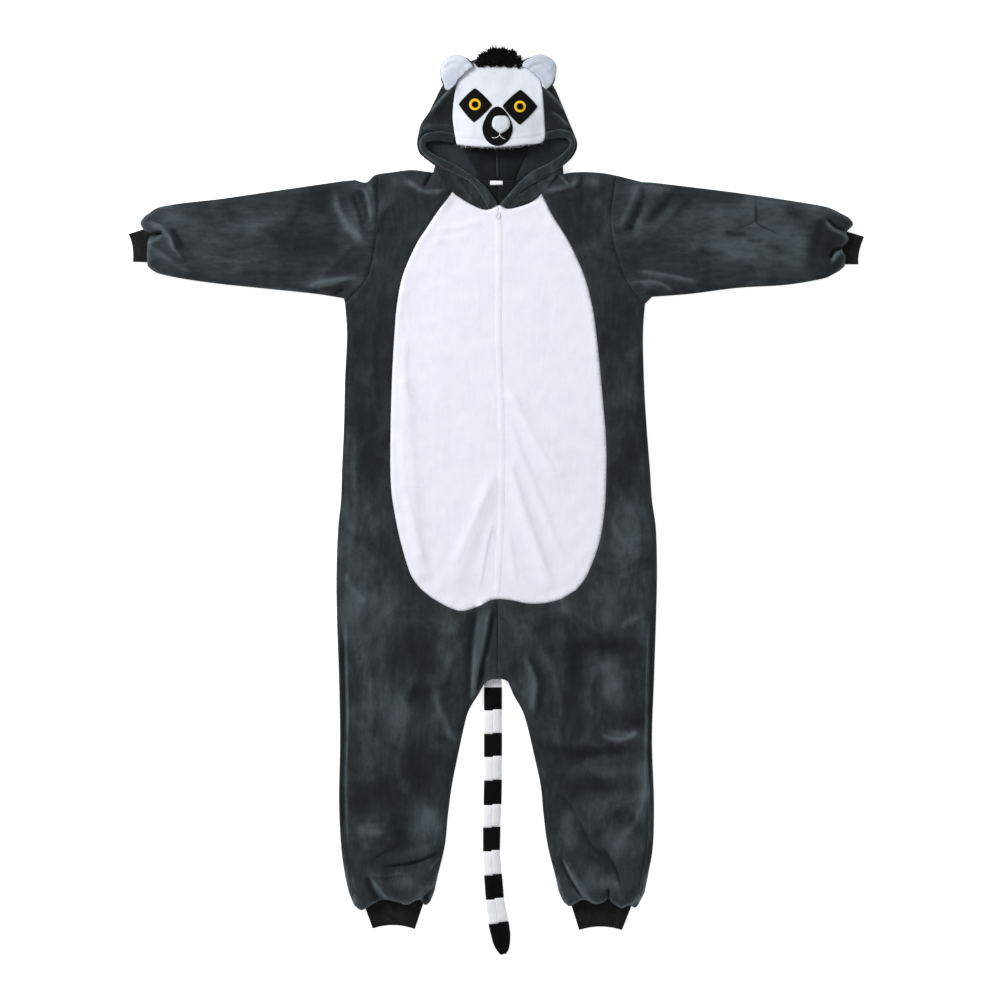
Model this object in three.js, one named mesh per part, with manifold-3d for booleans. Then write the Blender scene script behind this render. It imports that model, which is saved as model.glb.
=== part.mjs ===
// Lemur onesie for an adult, laid flat on its back on the floor with the sleeves spread out.
// Millimetres. +X runs to the right of the picture (the wearer's left), +Y runs up to the hood and
// +Z points up, away from the floor. The origin lies on the floor under the middle of the torso.
import * as THREE from 'three';
import { mergeVertices } from 'three/addons/utils/BufferGeometryUtils.js';
import Module from 'manifold-3d';

const wasm = await Module();
wasm.setup();

// Cloth
const PLUSH = 3.0; // wall of the plush cloth with its nap
const RIB = 2.2; // wall of the knitted rib at wrists and ankles
const LAID_GAP = 0.8; // air between front and back where they lie on each other
const EDGE_PUFF = 4.5; // extra air where the cloth turns round the outline
const EDGE_PUFF_WIDTH = 36; // how far that air reaches in from the outline
const EDGE_RADIUS = 9; // plan radius of the fold at the outline
const SEAM = 0.3; // air left between two pieces that are sewn together
const SPLIT = PLUSH + 0.3; // height of the level that parts the front layer from the back layer
const SKY = 120; // above everything, the top of the cutting prisms

// Front
const CENTRE = -4; // x of the centre seams
const SIDE_SEAM_INSET = 5; // side seam of the torso, in from the outline
const LEG_SEAM_INSET = 12; // side seam of the leg, in from the outline
const LEG_SEAM_START = -290; // y below which the side seam lies further in
const PLACKET_WIDTH = 17;
const PLACKET_RISE = 2.2;
const BUTTON_RADIUS = 5.5;
const BUTTON_AT = { x: -4, y: 569 };

// Hood
const HOOD_TOP = 890; // y of the top edge of the hood
const HOOD_RISE = 27; // air under the hood's front at its highest
const MOUTH_Y = 706; // y of the face panel's lower edge
const BAND_RISE = 3.4; // how far the rim band stands above the hood
const FACE_PILE = 1.6; // how much thicker the white pile of the face is
const FELT = 2.0; // eye patches, irises, pupils and muzzle
const TUFT_RISE = 14;
const LABEL = { x: -20, y: 628, width: 26, length: 8 };

// Tail
const TAIL_THICK = 15;
const TAIL_ROOT_Y = -328; // y of the sewn end, hidden under the seat
const TAIL_ROOT_THICK = 10; // before its seat under the back is cut away

// The left and right outline of torso and legs.
const BODY_SIDES = [
  { y: 392, left: -310, right: 290 },
  { y: 330, left: -306, right: 286 },
  { y: 240, left: -310, right: 288 },
  { y: 150, left: -312, right: 293 },
  { y: 60, left: -316, right: 300 },
  { y: 0, left: -318, right: 304 },
  { y: -60, left: -324, right: 312 },
  { y: -150, left: -327, right: 314 },
  { y: -240, left: -326, right: 312 },
  { y: -360, left: -322, right: 308 },
  { y: -480, left: -320, right: 304 },
  { y: -600, left: -322, right: 308 },
  { y: -690, left: -318, right: 306 },
  { y: -750, left: -310, right: 296 },
  { y: -785, left: -302, right: 289 },
];

// The inner edges of the two legs, from the crotch down.
const INNER_LEGS = [
  { y: -358, left: -14, right: 4 },
  { y: -364, left: -28, right: 16 },
  { y: -390, left: -44, right: 27 },
  { y: -420, left: -62, right: 44 },
  { y: -450, left: -71, right: 54 },
  { y: -510, left: -84, right: 68 },
  { y: -570, left: -96, right: 81 },
  { y: -630, left: -104, right: 87 },
  { y: -690, left: -110, right: 95 },
  { y: -750, left: -124, right: 110 },
  { y: -782, left: -131, right: 117 },
];

// The bloused lower edge of each leg, from the outer side inwards.
const LEFT_LEG_HEM = [
  { x: -292, y: -810 },
  { x: -277, y: -820 },
  { x: -256, y: -809 },
  { x: -234, y: -799 },
  { x: -208, y: -803 },
  { x: -186, y: -809 },
  { x: -163, y: -799 },
  { x: -149, y: -810 },
  { x: -139, y: -802 },
];
const RIGHT_LEG_HEM = [
  { x: 281, y: -800 },
  { x: 271, y: -815 },
  { x: 258, y: -810 },
  { x: 243, y: -816 },
  { x: 226, y: -807 },
  { x: 217, y: -797 },
  { x: 207, y: -804 },
  { x: 190, y: -808 },
  { x: 168, y: -799 },
  { x: 152, y: -806 },
  { x: 138, y: -812 },
  { x: 126, y: -802 },
];

// Upper and lower edges of the sleeves.
const LEFT_SLEEVE = [
  { x: -697, top: 577, bottom: 460 },
  { x: -680, top: 586, bottom: 452 },
  { x: -632, top: 594, bottom: 442 },
  { x: -560, top: 602, bottom: 432 },
  { x: -464, top: 616, bottom: 422 },
  { x: -368, top: 630, bottom: 412 },
  { x: -312, top: 638, bottom: 403 },
];
const RIGHT_SLEEVE = [
  { x: 680, top: 574, bottom: 459 },
  { x: 664, top: 582, bottom: 450 },
  { x: 644, top: 588, bottom: 442 },
  { x: 572, top: 600, bottom: 430 },
  { x: 476, top: 614, bottom: 424 },
  { x: 380, top: 626, bottom: 412 },
  { x: 304, top: 635, bottom: 406 },
];

// The lobes that the bloused sleeves form over their cuffs, from the upper edge down.
const LEFT_WRIST_LOBES = [
  { x: -711, y: 567 },
  { x: -719, y: 554 },
  { x: -712, y: 540 },
  { x: -697, y: 531 },
  { x: -704, y: 519 },
  { x: -706, y: 492 },
  { x: -705, y: 467 },
];
const RIGHT_WRIST_LOBES = [
  { x: 697, y: 565 },
  { x: 706, y: 551 },
  { x: 693, y: 535 },
  { x: 697, y: 521 },
  { x: 684, y: 503 },
  { x: 690, y: 487 },
  { x: 689, y: 467 },
];

// Shoulder lines, from the armhole to the neck.
const LEFT_SHOULDER = [
  { x: -290, y: 640 },
  { x: -267, y: 635 },
  { x: -249, y: 650 },
  { x: -212, y: 656 },
  { x: -178, y: 660 },
  { x: -150, y: 657 },
  { x: -134, y: 655 },
];
const RIGHT_SHOULDER = [
  { x: 284, y: 636 },
  { x: 260, y: 642 },
  { x: 236, y: 648 },
  { x: 204, y: 654 },
  { x: 172, y: 656 },
  { x: 144, y: 655 },
  { x: 127, y: 652 },
];

// Outline of the hood, from the neck up.
const HOOD_SIDES = [
  { y: 668, left: -130, right: 126 },
  { y: 680, left: -146, right: 140 },
  { y: 692, left: -160, right: 149 },
  { y: 704, left: -165, right: 154 },
  { y: 716, left: -166, right: 154 },
  { y: 728, left: -164, right: 150 },
  { y: 752, left: -158, right: 140 },
  { y: 776, left: -142, right: 130 },
  { y: 800, left: -130, right: 120 },
  { y: 824, left: -118, right: 109 },
  { y: 848, left: -100, right: 92 },
  { y: 868, left: -76, right: 68 },
  { y: 882, left: -46, right: 38 },
];

// Armhole seams, from the shoulder to the underarm.
const ARMHOLES = [
  { y: 700, left: -243, right: 233 },
  { y: 640, left: -243, right: 231 },
  { y: 592, left: -243, right: 224 },
  { y: 558, left: -244, right: 222 },
  { y: 518, left: -248, right: 227 },
  { y: 476, left: -256, right: 239 },
  { y: 440, left: -268, right: 253 },
  { y: 410, left: -293, right: 275 },
  { y: 390, left: -316, right: 298 },
];

// Neck seam of the front, and of the back, from left to right.
const FRONT_NECK = [
  { x: -160, y: 682 },
  { x: -133, y: 656 },
  { x: -112, y: 636 },
  { x: -96, y: 616 },
  { x: -60, y: 592 },
  { x: -28, y: 580 },
  { x: -4, y: 590 },
  { x: 18, y: 582 },
  { x: 60, y: 594 },
  { x: 84, y: 613 },
  { x: 108, y: 638 },
  { x: 127, y: 653 },
  { x: 154, y: 680 },
];
const BACK_NECK = [
  { x: -160, y: 682 },
  { x: -133, y: 656 },
  { x: -90, y: 642 },
  { x: -40, y: 637 },
  { x: 34, y: 637 },
  { x: 84, y: 642 },
  { x: 127, y: 653 },
  { x: 154, y: 680 },
];

// The white belly: its two sides, and its lower edge from left to right.
const BELLY_SIDES = [
  { y: 636, left: -82, right: 70 },
  { y: 612, left: -98, right: 83 },
  { y: 596, left: -110, right: 91 },
  { y: 572, left: -128, right: 103 },
  { y: 540, left: -149, right: 123 },
  { y: 510, left: -168, right: 141 },
  { y: 450, left: -194, right: 168 },
  { y: 390, left: -206, right: 184 },
  { y: 330, left: -211, right: 193 },
  { y: 240, left: -216, right: 202 },
  { y: 120, left: -219, right: 212 },
  { y: 30, left: -218, right: 212 },
  { y: -30, left: -210, right: 208 },
  { y: -90, left: -197, right: 197 },
  { y: -150, left: -178, right: 174 },
  { y: -180, left: -156, right: 152 },
];
const BELLY_HEM = [
  { x: -136, y: -196 },
  { x: -104, y: -214 },
  { x: -76, y: -222 },
  { x: -44, y: -213 },
  { x: -14, y: -199 },
  { x: 20, y: -200 },
  { x: 56, y: -207 },
  { x: 90, y: -206 },
  { x: 122, y: -198 },
];

// The line of the placket's middle down the front.
const PLACKET_LINE = [
  { y: 592, x: -3 },
  { y: 480, x: -2 },
  { y: 340, x: -3 },
  { y: 180, x: 2 },
  { y: 100, x: 4 },
  { y: -40, x: 2 },
  { y: -120, x: -3 },
  { y: -203, x: -6 },
];

// The largest folds: ridges with a rounded crest from one point to another. Height is at the crest,
// width is where the ridge has fallen to about a third.
const FOLDS = [
  { name: 'left sleeve by armhole', x1: -262, y1: 628, x2: -250, y2: 548, width: 13, height: 9 },
  { name: 'left sleeve second', x1: -300, y1: 622, x2: -262, y2: 512, width: 16, height: 9 },
  { name: 'left underarm', x1: -350, y1: 424, x2: -276, y2: 434, width: 12, height: 8 },
  { name: 'right sleeve by armhole', x1: 262, y1: 630, x2: 244, y2: 560, width: 13, height: 8 },
  { name: 'right sleeve second', x1: 322, y1: 606, x2: 266, y2: 520, width: 17, height: 8 },
  { name: 'right underarm', x1: 360, y1: 426, x2: 268, y2: 440, width: 12, height: 8 },
  { name: 'left shoulder', x1: -196, y1: 634, x2: -120, y2: 600, width: 15, height: 9 },
  { name: 'right shoulder', x1: 192, y1: 628, x2: 112, y2: 606, width: 15, height: 9 },
  { name: 'crotch pleat', x1: -34, y1: -216, x2: -60, y2: -372, width: 10, height: 10 },
  { name: 'crotch left', x1: -66, y1: -300, x2: -84, y2: -420, width: 18, height: 6 },
  { name: 'crotch right', x1: 34, y1: -300, x2: 66, y2: -420, width: 18, height: 7 },
  { name: 'belly lower left', x1: -14, y1: 40, x2: -84, y2: -150, width: 16, height: 7 },
  { name: 'belly lower right', x1: 22, y1: 60, x2: 96, y2: -170, width: 17, height: 7 },
  { name: 'belly right', x1: 30, y1: 200, x2: 118, y2: 60, width: 18, height: 6 },
  { name: 'belly left edge', x1: -192, y1: 230, x2: -160, y2: -150, width: 15, height: 6 },
  { name: 'left shin', x1: -232, y1: -742, x2: -132, y2: -706, width: 14, height: 8 },
  { name: 'right knee', x1: 190, y1: -528, x2: 290, y2: -500, width: 16, height: 7 },
  { name: 'right calf', x1: 128, y1: -640, x2: 190, y2: -740, width: 16, height: 7 },
  { name: 'right thigh', x1: 196, y1: -350, x2: 290, y2: -300, width: 17, height: 6 },
];

// Air blown up where the cloth is gathered into a cuff: middle, reach along x and y, and height.
const PUFFS = [
  { name: 'left wrist upper', x: -672, y: 556, reachX: 44, reachY: 26, height: 14 },
  { name: 'left wrist lower', x: -672, y: 486, reachX: 44, reachY: 30, height: 13 },
  { name: 'right wrist upper', x: 662, y: 556, reachX: 42, reachY: 22, height: 13 },
  { name: 'right wrist middle', x: 658, y: 516, reachX: 40, reachY: 18, height: 13 },
  { name: 'right wrist lower', x: 654, y: 476, reachX: 42, reachY: 24, height: 12 },
  { name: 'left ankle outer', x: -268, y: -784, reachX: 28, reachY: 44, height: 12 },
  { name: 'left ankle middle', x: -194, y: -770, reachX: 46, reachY: 42, height: 17 },
  { name: 'left ankle inner', x: -146, y: -780, reachX: 20, reachY: 40, height: 10 },
  { name: 'right ankle inner', x: 144, y: -782, reachX: 22, reachY: 44, height: 11 },
  { name: 'right ankle middle', x: 190, y: -772, reachX: 34, reachY: 44, height: 16 },
  { name: 'right ankle outer', x: 248, y: -776, reachX: 34, reachY: 46, height: 15 },
];

// Rim band round the face opening: outer edge, then inner edge, from the face to the centre front.
const LEFT_BAND_OUTER = [
  { x: -90, y: 732 },
  { x: -120, y: 737 },
  { x: -148, y: 733 },
  { x: -160, y: 720 },
  { x: -161, y: 705 },
  { x: -149, y: 687 },
  { x: -123, y: 669 },
  { x: -93, y: 654 },
  { x: -66, y: 640 },
  { x: -46, y: 620 },
  { x: -34, y: 602 },
  { x: -30, y: 585 },
];
const LEFT_BAND_INNER = [
  { x: -90, y: 714 },
  { x: -120, y: 718 },
  { x: -140, y: 717 },
  { x: -149, y: 712 },
  { x: -144, y: 700 },
  { x: -123, y: 686 },
  { x: -93, y: 672 },
  { x: -66, y: 656 },
  { x: -40, y: 637 },
  { x: -24, y: 621 },
  { x: -7, y: 594 },
];
const RIGHT_BAND_OUTER = [
  { x: 90, y: 736 },
  { x: 120, y: 741 },
  { x: 142, y: 735 },
  { x: 150, y: 722 },
  { x: 149, y: 702 },
  { x: 137, y: 682 },
  { x: 118, y: 661 },
  { x: 94, y: 646 },
  { x: 66, y: 632 },
  { x: 44, y: 618 },
  { x: 28, y: 604 },
  { x: 16, y: 587 },
];
const RIGHT_BAND_INNER = [
  { x: 90, y: 720 },
  { x: 118, y: 724 },
  { x: 134, y: 722 },
  { x: 140, y: 714 },
  { x: 136, y: 704 },
  { x: 120, y: 688 },
  { x: 94, y: 672 },
  { x: 66, y: 658 },
  { x: 40, y: 637 },
  { x: 24, y: 619 },
  { x: 2, y: 594 },
];

// Face panel, counter-clockwise from its lower left corner.
const FACE = [
  { x: -87, y: 711 },
  { x: -60, y: 707 },
  { x: -4, y: 705 },
  { x: 50, y: 710 },
  { x: 87, y: 718 },
  { x: 89, y: 762 },
  { x: 83, y: 832 },
  { x: 74, y: 846 },
  { x: 60, y: 859 },
  { x: 42, y: 866 },
  { x: -4, y: 869 },
  { x: -48, y: 866 },
  { x: -64, y: 858 },
  { x: -78, y: 845 },
  { x: -87, y: 832 },
  { x: -95, y: 768 },
];

// Eyes and muzzle.
const EYE_PATCHES = [
  { side: 'left', x: -50, y: 790, halfWidth: 33, halfHeight: 33 },
  { side: 'right', x: 40, y: 786, halfWidth: 34, halfHeight: 34 },
];
const IRIS_RADIUS = 12.2;
const PUPIL_RADIUS = 6.4;
const MUZZLE = { x: -5, top: 786, bottom: 709, halfWidth: 30.5, widest: 744 };
const NOSE = { x: 2, y: 750, halfWidth: 18, halfHeight: 18, rise: 11 };

// Ears, as outlines from the inner corner round the tip to the outer corner.
const LEFT_EAR = [
  { x: -52, y: 865 },
  { x: -68, y: 883 },
  { x: -90, y: 889 },
  { x: -111, y: 877 },
  { x: -119, y: 857 },
  { x: -113, y: 834 },
  { x: -102, y: 820 },
];
const RIGHT_EAR = [
  { x: 92, y: 820 },
  { x: 105, y: 834 },
  { x: 112, y: 861 },
  { x: 105, y: 879 },
  { x: 83, y: 890 },
  { x: 62, y: 884 },
  { x: 45, y: 866 },
];
const EAR_BACK_EDGE = 2.4; // how far the dark back of an ear shows past its white front

// Hair tuft over the forehead, as an outline from its left foot over the crest.
const TUFT = [
  { x: -50, y: 866 },
  { x: -46, y: 884 },
  { x: -34, y: 898 },
  { x: -18, y: 904 },
  { x: -2, y: 908 },
  { x: 16, y: 905 },
  { x: 34, y: 898 },
  { x: 42, y: 884 },
  { x: 46, y: 866 },
];

// Cuffs: the corners of each free end, and of each end that is sewn in under the blousing.
const CUFFS = [
  { name: 'cuff_wrist_left', rootA: [-690, 549], endA: [-743, 532], endB: [-734, 476], rootB: [-690, 475], arch: [-735, 507] },
  { name: 'cuff_wrist_right', rootA: [674, 471], endA: [717, 471], endB: [728, 527], rootB: [674, 543], arch: [718, 495] },
  { name: 'cuff_ankle_left', rootA: [-272, -792], endA: [-255, -857], endB: [-170, -858], rootB: [-154, -792], arch: [-213, -850] },
  { name: 'cuff_ankle_right', rootA: [143, -792], endA: [158, -860], endB: [244, -860], rootB: [264, -792], arch: [201, -853] },
];

// Tail: the line between two bands, and the left and right edge there.
const TAIL_BANDS = [
  { y: -374.6, left: -32, right: 4 },
  { y: -419.6, left: -32, right: 4 },
  { y: -466.6, left: -32, right: 4 },
  { y: -512.6, left: -32, right: 4 },
  { y: -560, left: -32, right: 4 },
  { y: -609, left: -33, right: 3 },
  { y: -654, left: -34, right: 1 },
  { y: -701, left: -34, right: 0 },
  { y: -749, left: -32, right: 4 },
  { y: -797, left: -29, right: 8 },
  { y: -845, left: -26, right: 19 },
  { y: -908, left: -2, right: 16 },
];

const SLATE = new THREE.MeshStandardMaterial({ color: '#3b4349', roughness: 0.95 });
const SLATE_LIGHT = new THREE.MeshStandardMaterial({ color: '#566066', roughness: 0.95 });
const WHITE_PLUSH = new THREE.MeshStandardMaterial({ color: '#e8ecf6', roughness: 0.95 });
const BLACK_PLUSH = new THREE.MeshStandardMaterial({ color: '#0b0b0c', roughness: 0.95 });
const BLACK_RIB = new THREE.MeshStandardMaterial({ color: '#1f1f1f', roughness: 0.9 });
const BLACK_FELT = new THREE.MeshStandardMaterial({ color: '#141416', roughness: 0.95 });
const YELLOW_FELT = new THREE.MeshStandardMaterial({ color: '#f0b81c', roughness: 0.9 });
const GREY_FELT = new THREE.MeshStandardMaterial({ color: '#d5d9de', roughness: 0.9 });
const WHITE_SATIN = new THREE.MeshStandardMaterial({ color: '#f2f3f5', roughness: 0.6 });
const PEARL = new THREE.MeshStandardMaterial({ color: '#cfd3da', roughness: 0.35 });

const onesie = new THREE.Group();

// Plan geometry. A point is [x, y], an outline is a closed list of points, counter-clockwise.

// A smooth line through table rows, with a point about every step millimetres.
function curve(rows, step) {
  const spline = new THREE.SplineCurve(rows.map((row) => new THREE.Vector2(row.x, row.y)));
  const count = Math.max(1, Math.round(spline.getLength() / step));
  return spline.getSpacedPoints(count).map((point) => [point.x, point.y]);
}

function column(rows, name) {
  return rows.map((row) => ({ x: row[name], y: row.y }));
}

function sleeveEdge(rows, name) {
  return rows.map((row) => ({ x: row.x, y: row[name] }));
}

function withoutRepeats(points, nearest = 1) {
  return points.filter((point, index) => {
    const before = points[(index + points.length - 1) % points.length];
    return Math.hypot(point[0] - before[0], point[1] - before[1]) > nearest;
  });
}

function counterClockwise(outline) {
  const area = outline.reduce((sum, point, index) => {
    const next = outline[(index + 1) % outline.length];
    return sum + point[0] * next[1] - next[0] * point[1];
  }, 0);
  return area < 0 ? [...outline].reverse() : outline;
}

function distanceToSegment(x, y, a, b) {
  const dx = b[0] - a[0];
  const dy = b[1] - a[1];
  const along = ((x - a[0]) * dx + (y - a[1]) * dy) / (dx * dx + dy * dy || 1);
  const t = Math.min(1, Math.max(0, along));
  return Math.hypot(x - a[0] - t * dx, y - a[1] - t * dy);
}

function distanceToOutline(x, y, outline) {
  let nearest = Infinity;
  outline.forEach((point, index) => {
    const next = outline[(index + 1) % outline.length];
    nearest = Math.min(nearest, distanceToSegment(x, y, point, next));
  });
  return nearest;
}

function isInside(x, y, outline) {
  let inside = false;
  outline.forEach((a, index) => {
    const b = outline[(index + 1) % outline.length];
    if (a[1] > y !== b[1] > y && x < ((b[0] - a[0]) * (y - a[1])) / (b[1] - a[1]) + a[0]) inside = !inside;
  });
  return inside;
}

// The points of an outline moved inwards (or outwards, if the distance is negative) along its normals.
// The distance may be a function of place. Points that crowd together in a corner are left out.
function inset(outline, distance) {
  const distanceAt = typeof distance === 'function' ? distance : () => distance;
  const moved = outline.map((point, index) => {
    const before = outline[(index + outline.length - 1) % outline.length];
    const after = outline[(index + 1) % outline.length];
    const inward = new THREE.Vector2(before[1] - after[1], after[0] - before[0]).normalize();
    const far = distanceAt(point[0], point[1]);
    return [point[0] + inward.x * far, point[1] + inward.y * far, far];
  });
  const kept = moved.filter(([x, y, far]) => distanceToOutline(x, y, outline) > 0.86 * Math.abs(far) - 1e-6);
  return kept.map(([x, y]) => [x, y]);
}

// Points in a triangular grid inside an outline, at least margin away from it. The small shift of
// each point keeps four of them from lying on one circle.
function lattice(outline, spacing, margin) {
  const points = [];
  const xs = outline.map((point) => point[0]);
  const ys = outline.map((point) => point[1]);
  const rowHeight = spacing * Math.sqrt(0.75);
  let row = 0;
  for (let y = Math.min(...ys) + margin; y < Math.max(...ys); y += rowHeight) {
    row += 1;
    for (let x = Math.min(...xs) + (row % 2) * spacing * 0.5; x < Math.max(...xs); x += spacing) {
      const px = x + 0.4 * Math.sin(x * 1.7 + y);
      const py = y + 0.4 * Math.cos(x + y * 1.3);
      if (isInside(px, py, outline) && distanceToOutline(px, py, outline) > margin) points.push([px, py]);
    }
  }
  return points;
}

function clearOf(points, others, nearest) {
  return points.filter(([x, y]) => others.every(([ox, oy]) => Math.hypot(x - ox, y - oy) > nearest));
}

function circumcircle(a, b, c, points) {
  const [ax, ay] = points[a];
  const [bx, by] = points[b];
  const [cx, cy] = points[c];
  const d = 2 * (ax * (by - cy) + bx * (cy - ay) + cx * (ay - by));
  const a2 = ax * ax + ay * ay;
  const b2 = bx * bx + by * by;
  const c2 = cx * cx + cy * cy;
  const x = (a2 * (by - cy) + b2 * (cy - ay) + c2 * (ay - by)) / d;
  const y = (a2 * (cx - bx) + b2 * (ax - cx) + c2 * (bx - ax)) / d;
  return { corners: [a, b, c], x, y, radius2: (ax - x) ** 2 + (ay - y) ** 2 };
}

// Delaunay triangles over plan points, found by sweeping from left to right. The triangles are found
// for points shifted by about a micrometre, so that no four of them lie on one circle.
function delaunay(plan) {
  const far = 3e4;
  const shift = 1e-3;
  const count = plan.length;
  const shifted = plan.map(([x, y], i) => [x + shift * Math.sin(i * 12.9), y + shift * Math.cos(i * 7.3)]);
  const points = [...shifted, [-far, -far], [far, -far * 0.9], [0, far]];
  const order = plan.map((_, index) => index).sort((i, j) => plan[i][0] - plan[j][0]);
  let open = [circumcircle(count, count + 1, count + 2, points)];
  const closed = [];
  for (const index of order) {
    const [x, y] = points[index];
    const edges = new Map();
    const stillOpen = [];
    for (const triangle of open) {
      const dx = x - triangle.x;
      const dy = y - triangle.y;
      if (dx > 0 && dx * dx > triangle.radius2) {
        closed.push(triangle);
      } else if (dx * dx + dy * dy > triangle.radius2) {
        stillOpen.push(triangle);
      } else {
        const [a, b, c] = triangle.corners;
        for (const [from, to] of [[a, b], [b, c], [c, a]]) {
          const key = from < to ? `${from},${to}` : `${to},${from}`;
          if (edges.has(key)) edges.delete(key);
          else edges.set(key, [from, to]);
        }
      }
    }
    for (const [from, to] of edges.values()) stillOpen.push(circumcircle(from, to, index, points));
    open = stillOpen;
  }
  return [...closed, ...open].map((triangle) => triangle.corners).filter((corners) => Math.max(...corners) < count);
}

// Triangles that fill an outline, using the inner points too, counter-clockwise.
function fill(outline, innerPoints) {
  const points = [...outline, ...innerPoints];
  const faces = [];
  for (const [a, b, c] of delaunay(points)) {
    const middleX = (points[a][0] + points[b][0] + points[c][0]) / 3;
    const middleY = (points[a][1] + points[b][1] + points[c][1]) / 3;
    if (!isInside(middleX, middleY, outline)) continue;
    const ux = points[b][0] - points[a][0];
    const uy = points[b][1] - points[a][1];
    const vx = points[c][0] - points[a][0];
    const vy = points[c][1] - points[a][1];
    const area = ux * vy - uy * vx;
    if (Math.abs(area) > 1e-6) faces.push(area > 0 ? [a, b, c] : [a, c, b]);
  }
  return { points, faces };
}

function missingEdges(outline, faces) {
  const present = new Set();
  for (const [a, b, c] of faces) {
    present.add(`${a},${b}`);
    present.add(`${b},${c}`);
    present.add(`${c},${a}`);
  }
  return outline.map((_, index) => index).filter((index) => !present.has(`${index},${(index + 1) % outline.length}`));
}

// A closed solid over an outline between two heights, each a function of place. Where both heights
// agree on the outline the solid has a sharp or rounded rim, and elsewhere it has an upright side.
function slab(plan, { top, bottom, topPoints = [], bottomPoints = [] }) {
  let outline = counterClockwise(withoutRepeats(plan, 0.2));
  let upper;
  let lower;
  for (let attempt = 0; attempt < 8; attempt += 1) {
    upper = fill(outline, topPoints);
    lower = fill(outline, bottomPoints);
    const missing = new Set([...missingEdges(outline, upper.faces), ...missingEdges(outline, lower.faces)]);
    if (missing.size === 0) break;
    outline = outline.flatMap((point, index) => {
      const next = outline[(index + 1) % outline.length];
      const middle = [(point[0] + next[0]) / 2, (point[1] + next[1]) / 2];
      return missing.has(index) ? [point, middle] : [point];
    });
  }
  const positions = [];
  const add = (point, height) => positions.push(point[0], point[1], height(point[0], point[1]));
  for (const [a, b, c] of upper.faces) {
    add(upper.points[a], top);
    add(upper.points[b], top);
    add(upper.points[c], top);
  }
  for (const [a, b, c] of lower.faces) {
    add(lower.points[a], bottom);
    add(lower.points[c], bottom);
    add(lower.points[b], bottom);
  }
  outline.forEach((point, index) => {
    const next = outline[(index + 1) % outline.length];
    add(point, bottom);
    add(next, bottom);
    add(next, top);
    add(point, bottom);
    add(next, top);
    add(point, top);
  });
  const geometry = new THREE.BufferGeometry();
  geometry.setAttribute('position', new THREE.Float32BufferAttribute(positions, 3));
  return solid(geometry);
}

function solid(geometry) {
  const bare = geometry.clone();
  bare.deleteAttribute('normal');
  bare.deleteAttribute('uv');
  const merged = mergeVertices(bare, 1e-3);
  const corners = merged.index.array;
  const triangles = [];
  for (let i = 0; i < corners.length; i += 3) {
    const [a, b, c] = [corners[i], corners[i + 1], corners[i + 2]];
    if (a !== b && b !== c && c !== a) triangles.push(a, b, c);
  }
  return new wasm.Manifold(
    new wasm.Mesh({
      numProp: 3,
      vertProperties: new Float32Array(merged.attributes.position.array),
      triVerts: new Uint32Array(triangles),
    }),
  );
}

// A straight-sided solid over an outline, for cutting.
function prism(outline, bottom = -20, top = SKY) {
  return slab(outline, { top: () => top, bottom: () => bottom });
}

function boxBetween(x0, x1, y0 = -1200, y1 = 1200) {
  return prism([[x0, y0], [x1, y0], [x1, y1], [x0, y1]]);
}

function joined(solids) {
  return solids.reduce((sum, next) => sum.add(next));
}

// Turns the largest body of a solid into a named mesh. Crumbs that a cut left apart are dropped.
function sew(name, shape, material) {
  const bodies = shape.decompose();
  const largest = bodies.reduce((a, b) => (a.volume() > b.volume() ? a : b));
  const mesh = largest.getMesh();
  const geometry = new THREE.BufferGeometry();
  const positions = new Float32Array(mesh.numVert * 3);
  for (let i = 0; i < mesh.numVert; i += 1) {
    positions.set(mesh.vertProperties.slice(i * mesh.numProp, i * mesh.numProp + 3), i * 3);
  }
  geometry.setAttribute('position', new THREE.Float32BufferAttribute(positions, 3));
  geometry.setIndex(new THREE.Uint32BufferAttribute(mesh.triVerts, 1));
  const piece = new THREE.Mesh(geometry, material);
  piece.name = name;
  onesie.add(piece);
}

// Outline of the whole garment without cuffs, ears, tuft and tail.
const EDGE_STEP = 64;
const INNER_LEG_STEP = 42;
const SHOULDER_STEP = 24;
const HOOD_STEP = 25;
const LOBE_STEP = 12;
const hoodDown = [{ x: CENTRE, y: HOOD_TOP }, ...column(HOOD_SIDES, 'left').reverse()];
const hoodUp = [...column(HOOD_SIDES, 'right'), { x: CENTRE, y: HOOD_TOP }];
const GARMENT = withoutRepeats([
  ...curve(hoodDown, HOOD_STEP),
  ...curve([...LEFT_SHOULDER].reverse(), SHOULDER_STEP),
  ...curve(sleeveEdge(LEFT_SLEEVE, 'top').reverse(), EDGE_STEP),
  ...curve(LEFT_WRIST_LOBES, LOBE_STEP),
  ...curve(sleeveEdge(LEFT_SLEEVE, 'bottom'), EDGE_STEP),
  ...curve(column(BODY_SIDES, 'left'), EDGE_STEP),
  ...curve(LEFT_LEG_HEM, LOBE_STEP),
  ...curve(column(INNER_LEGS, 'left').reverse(), INNER_LEG_STEP),
  ...curve(column(INNER_LEGS, 'right'), INNER_LEG_STEP),
  ...curve([...RIGHT_LEG_HEM].reverse(), LOBE_STEP),
  ...curve(column(BODY_SIDES, 'right').reverse(), EDGE_STEP),
  ...curve(sleeveEdge(RIGHT_SLEEVE, 'bottom').reverse(), EDGE_STEP),
  ...curve([...RIGHT_WRIST_LOBES].reverse(), LOBE_STEP),
  ...curve(sleeveEdge(RIGHT_SLEEVE, 'top'), EDGE_STEP),
  ...curve(RIGHT_SHOULDER, SHOULDER_STEP),
  ...curve(hoodUp, HOOD_STEP),
], 2);

function smoothstep(from, to, value) {
  const t = Math.min(1, Math.max(0, (value - from) / (to - from)));
  return t * t * (3 - 2 * t);
}

function bell(distance, width) {
  return Math.exp(-((distance / width) ** 2));
}

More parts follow.
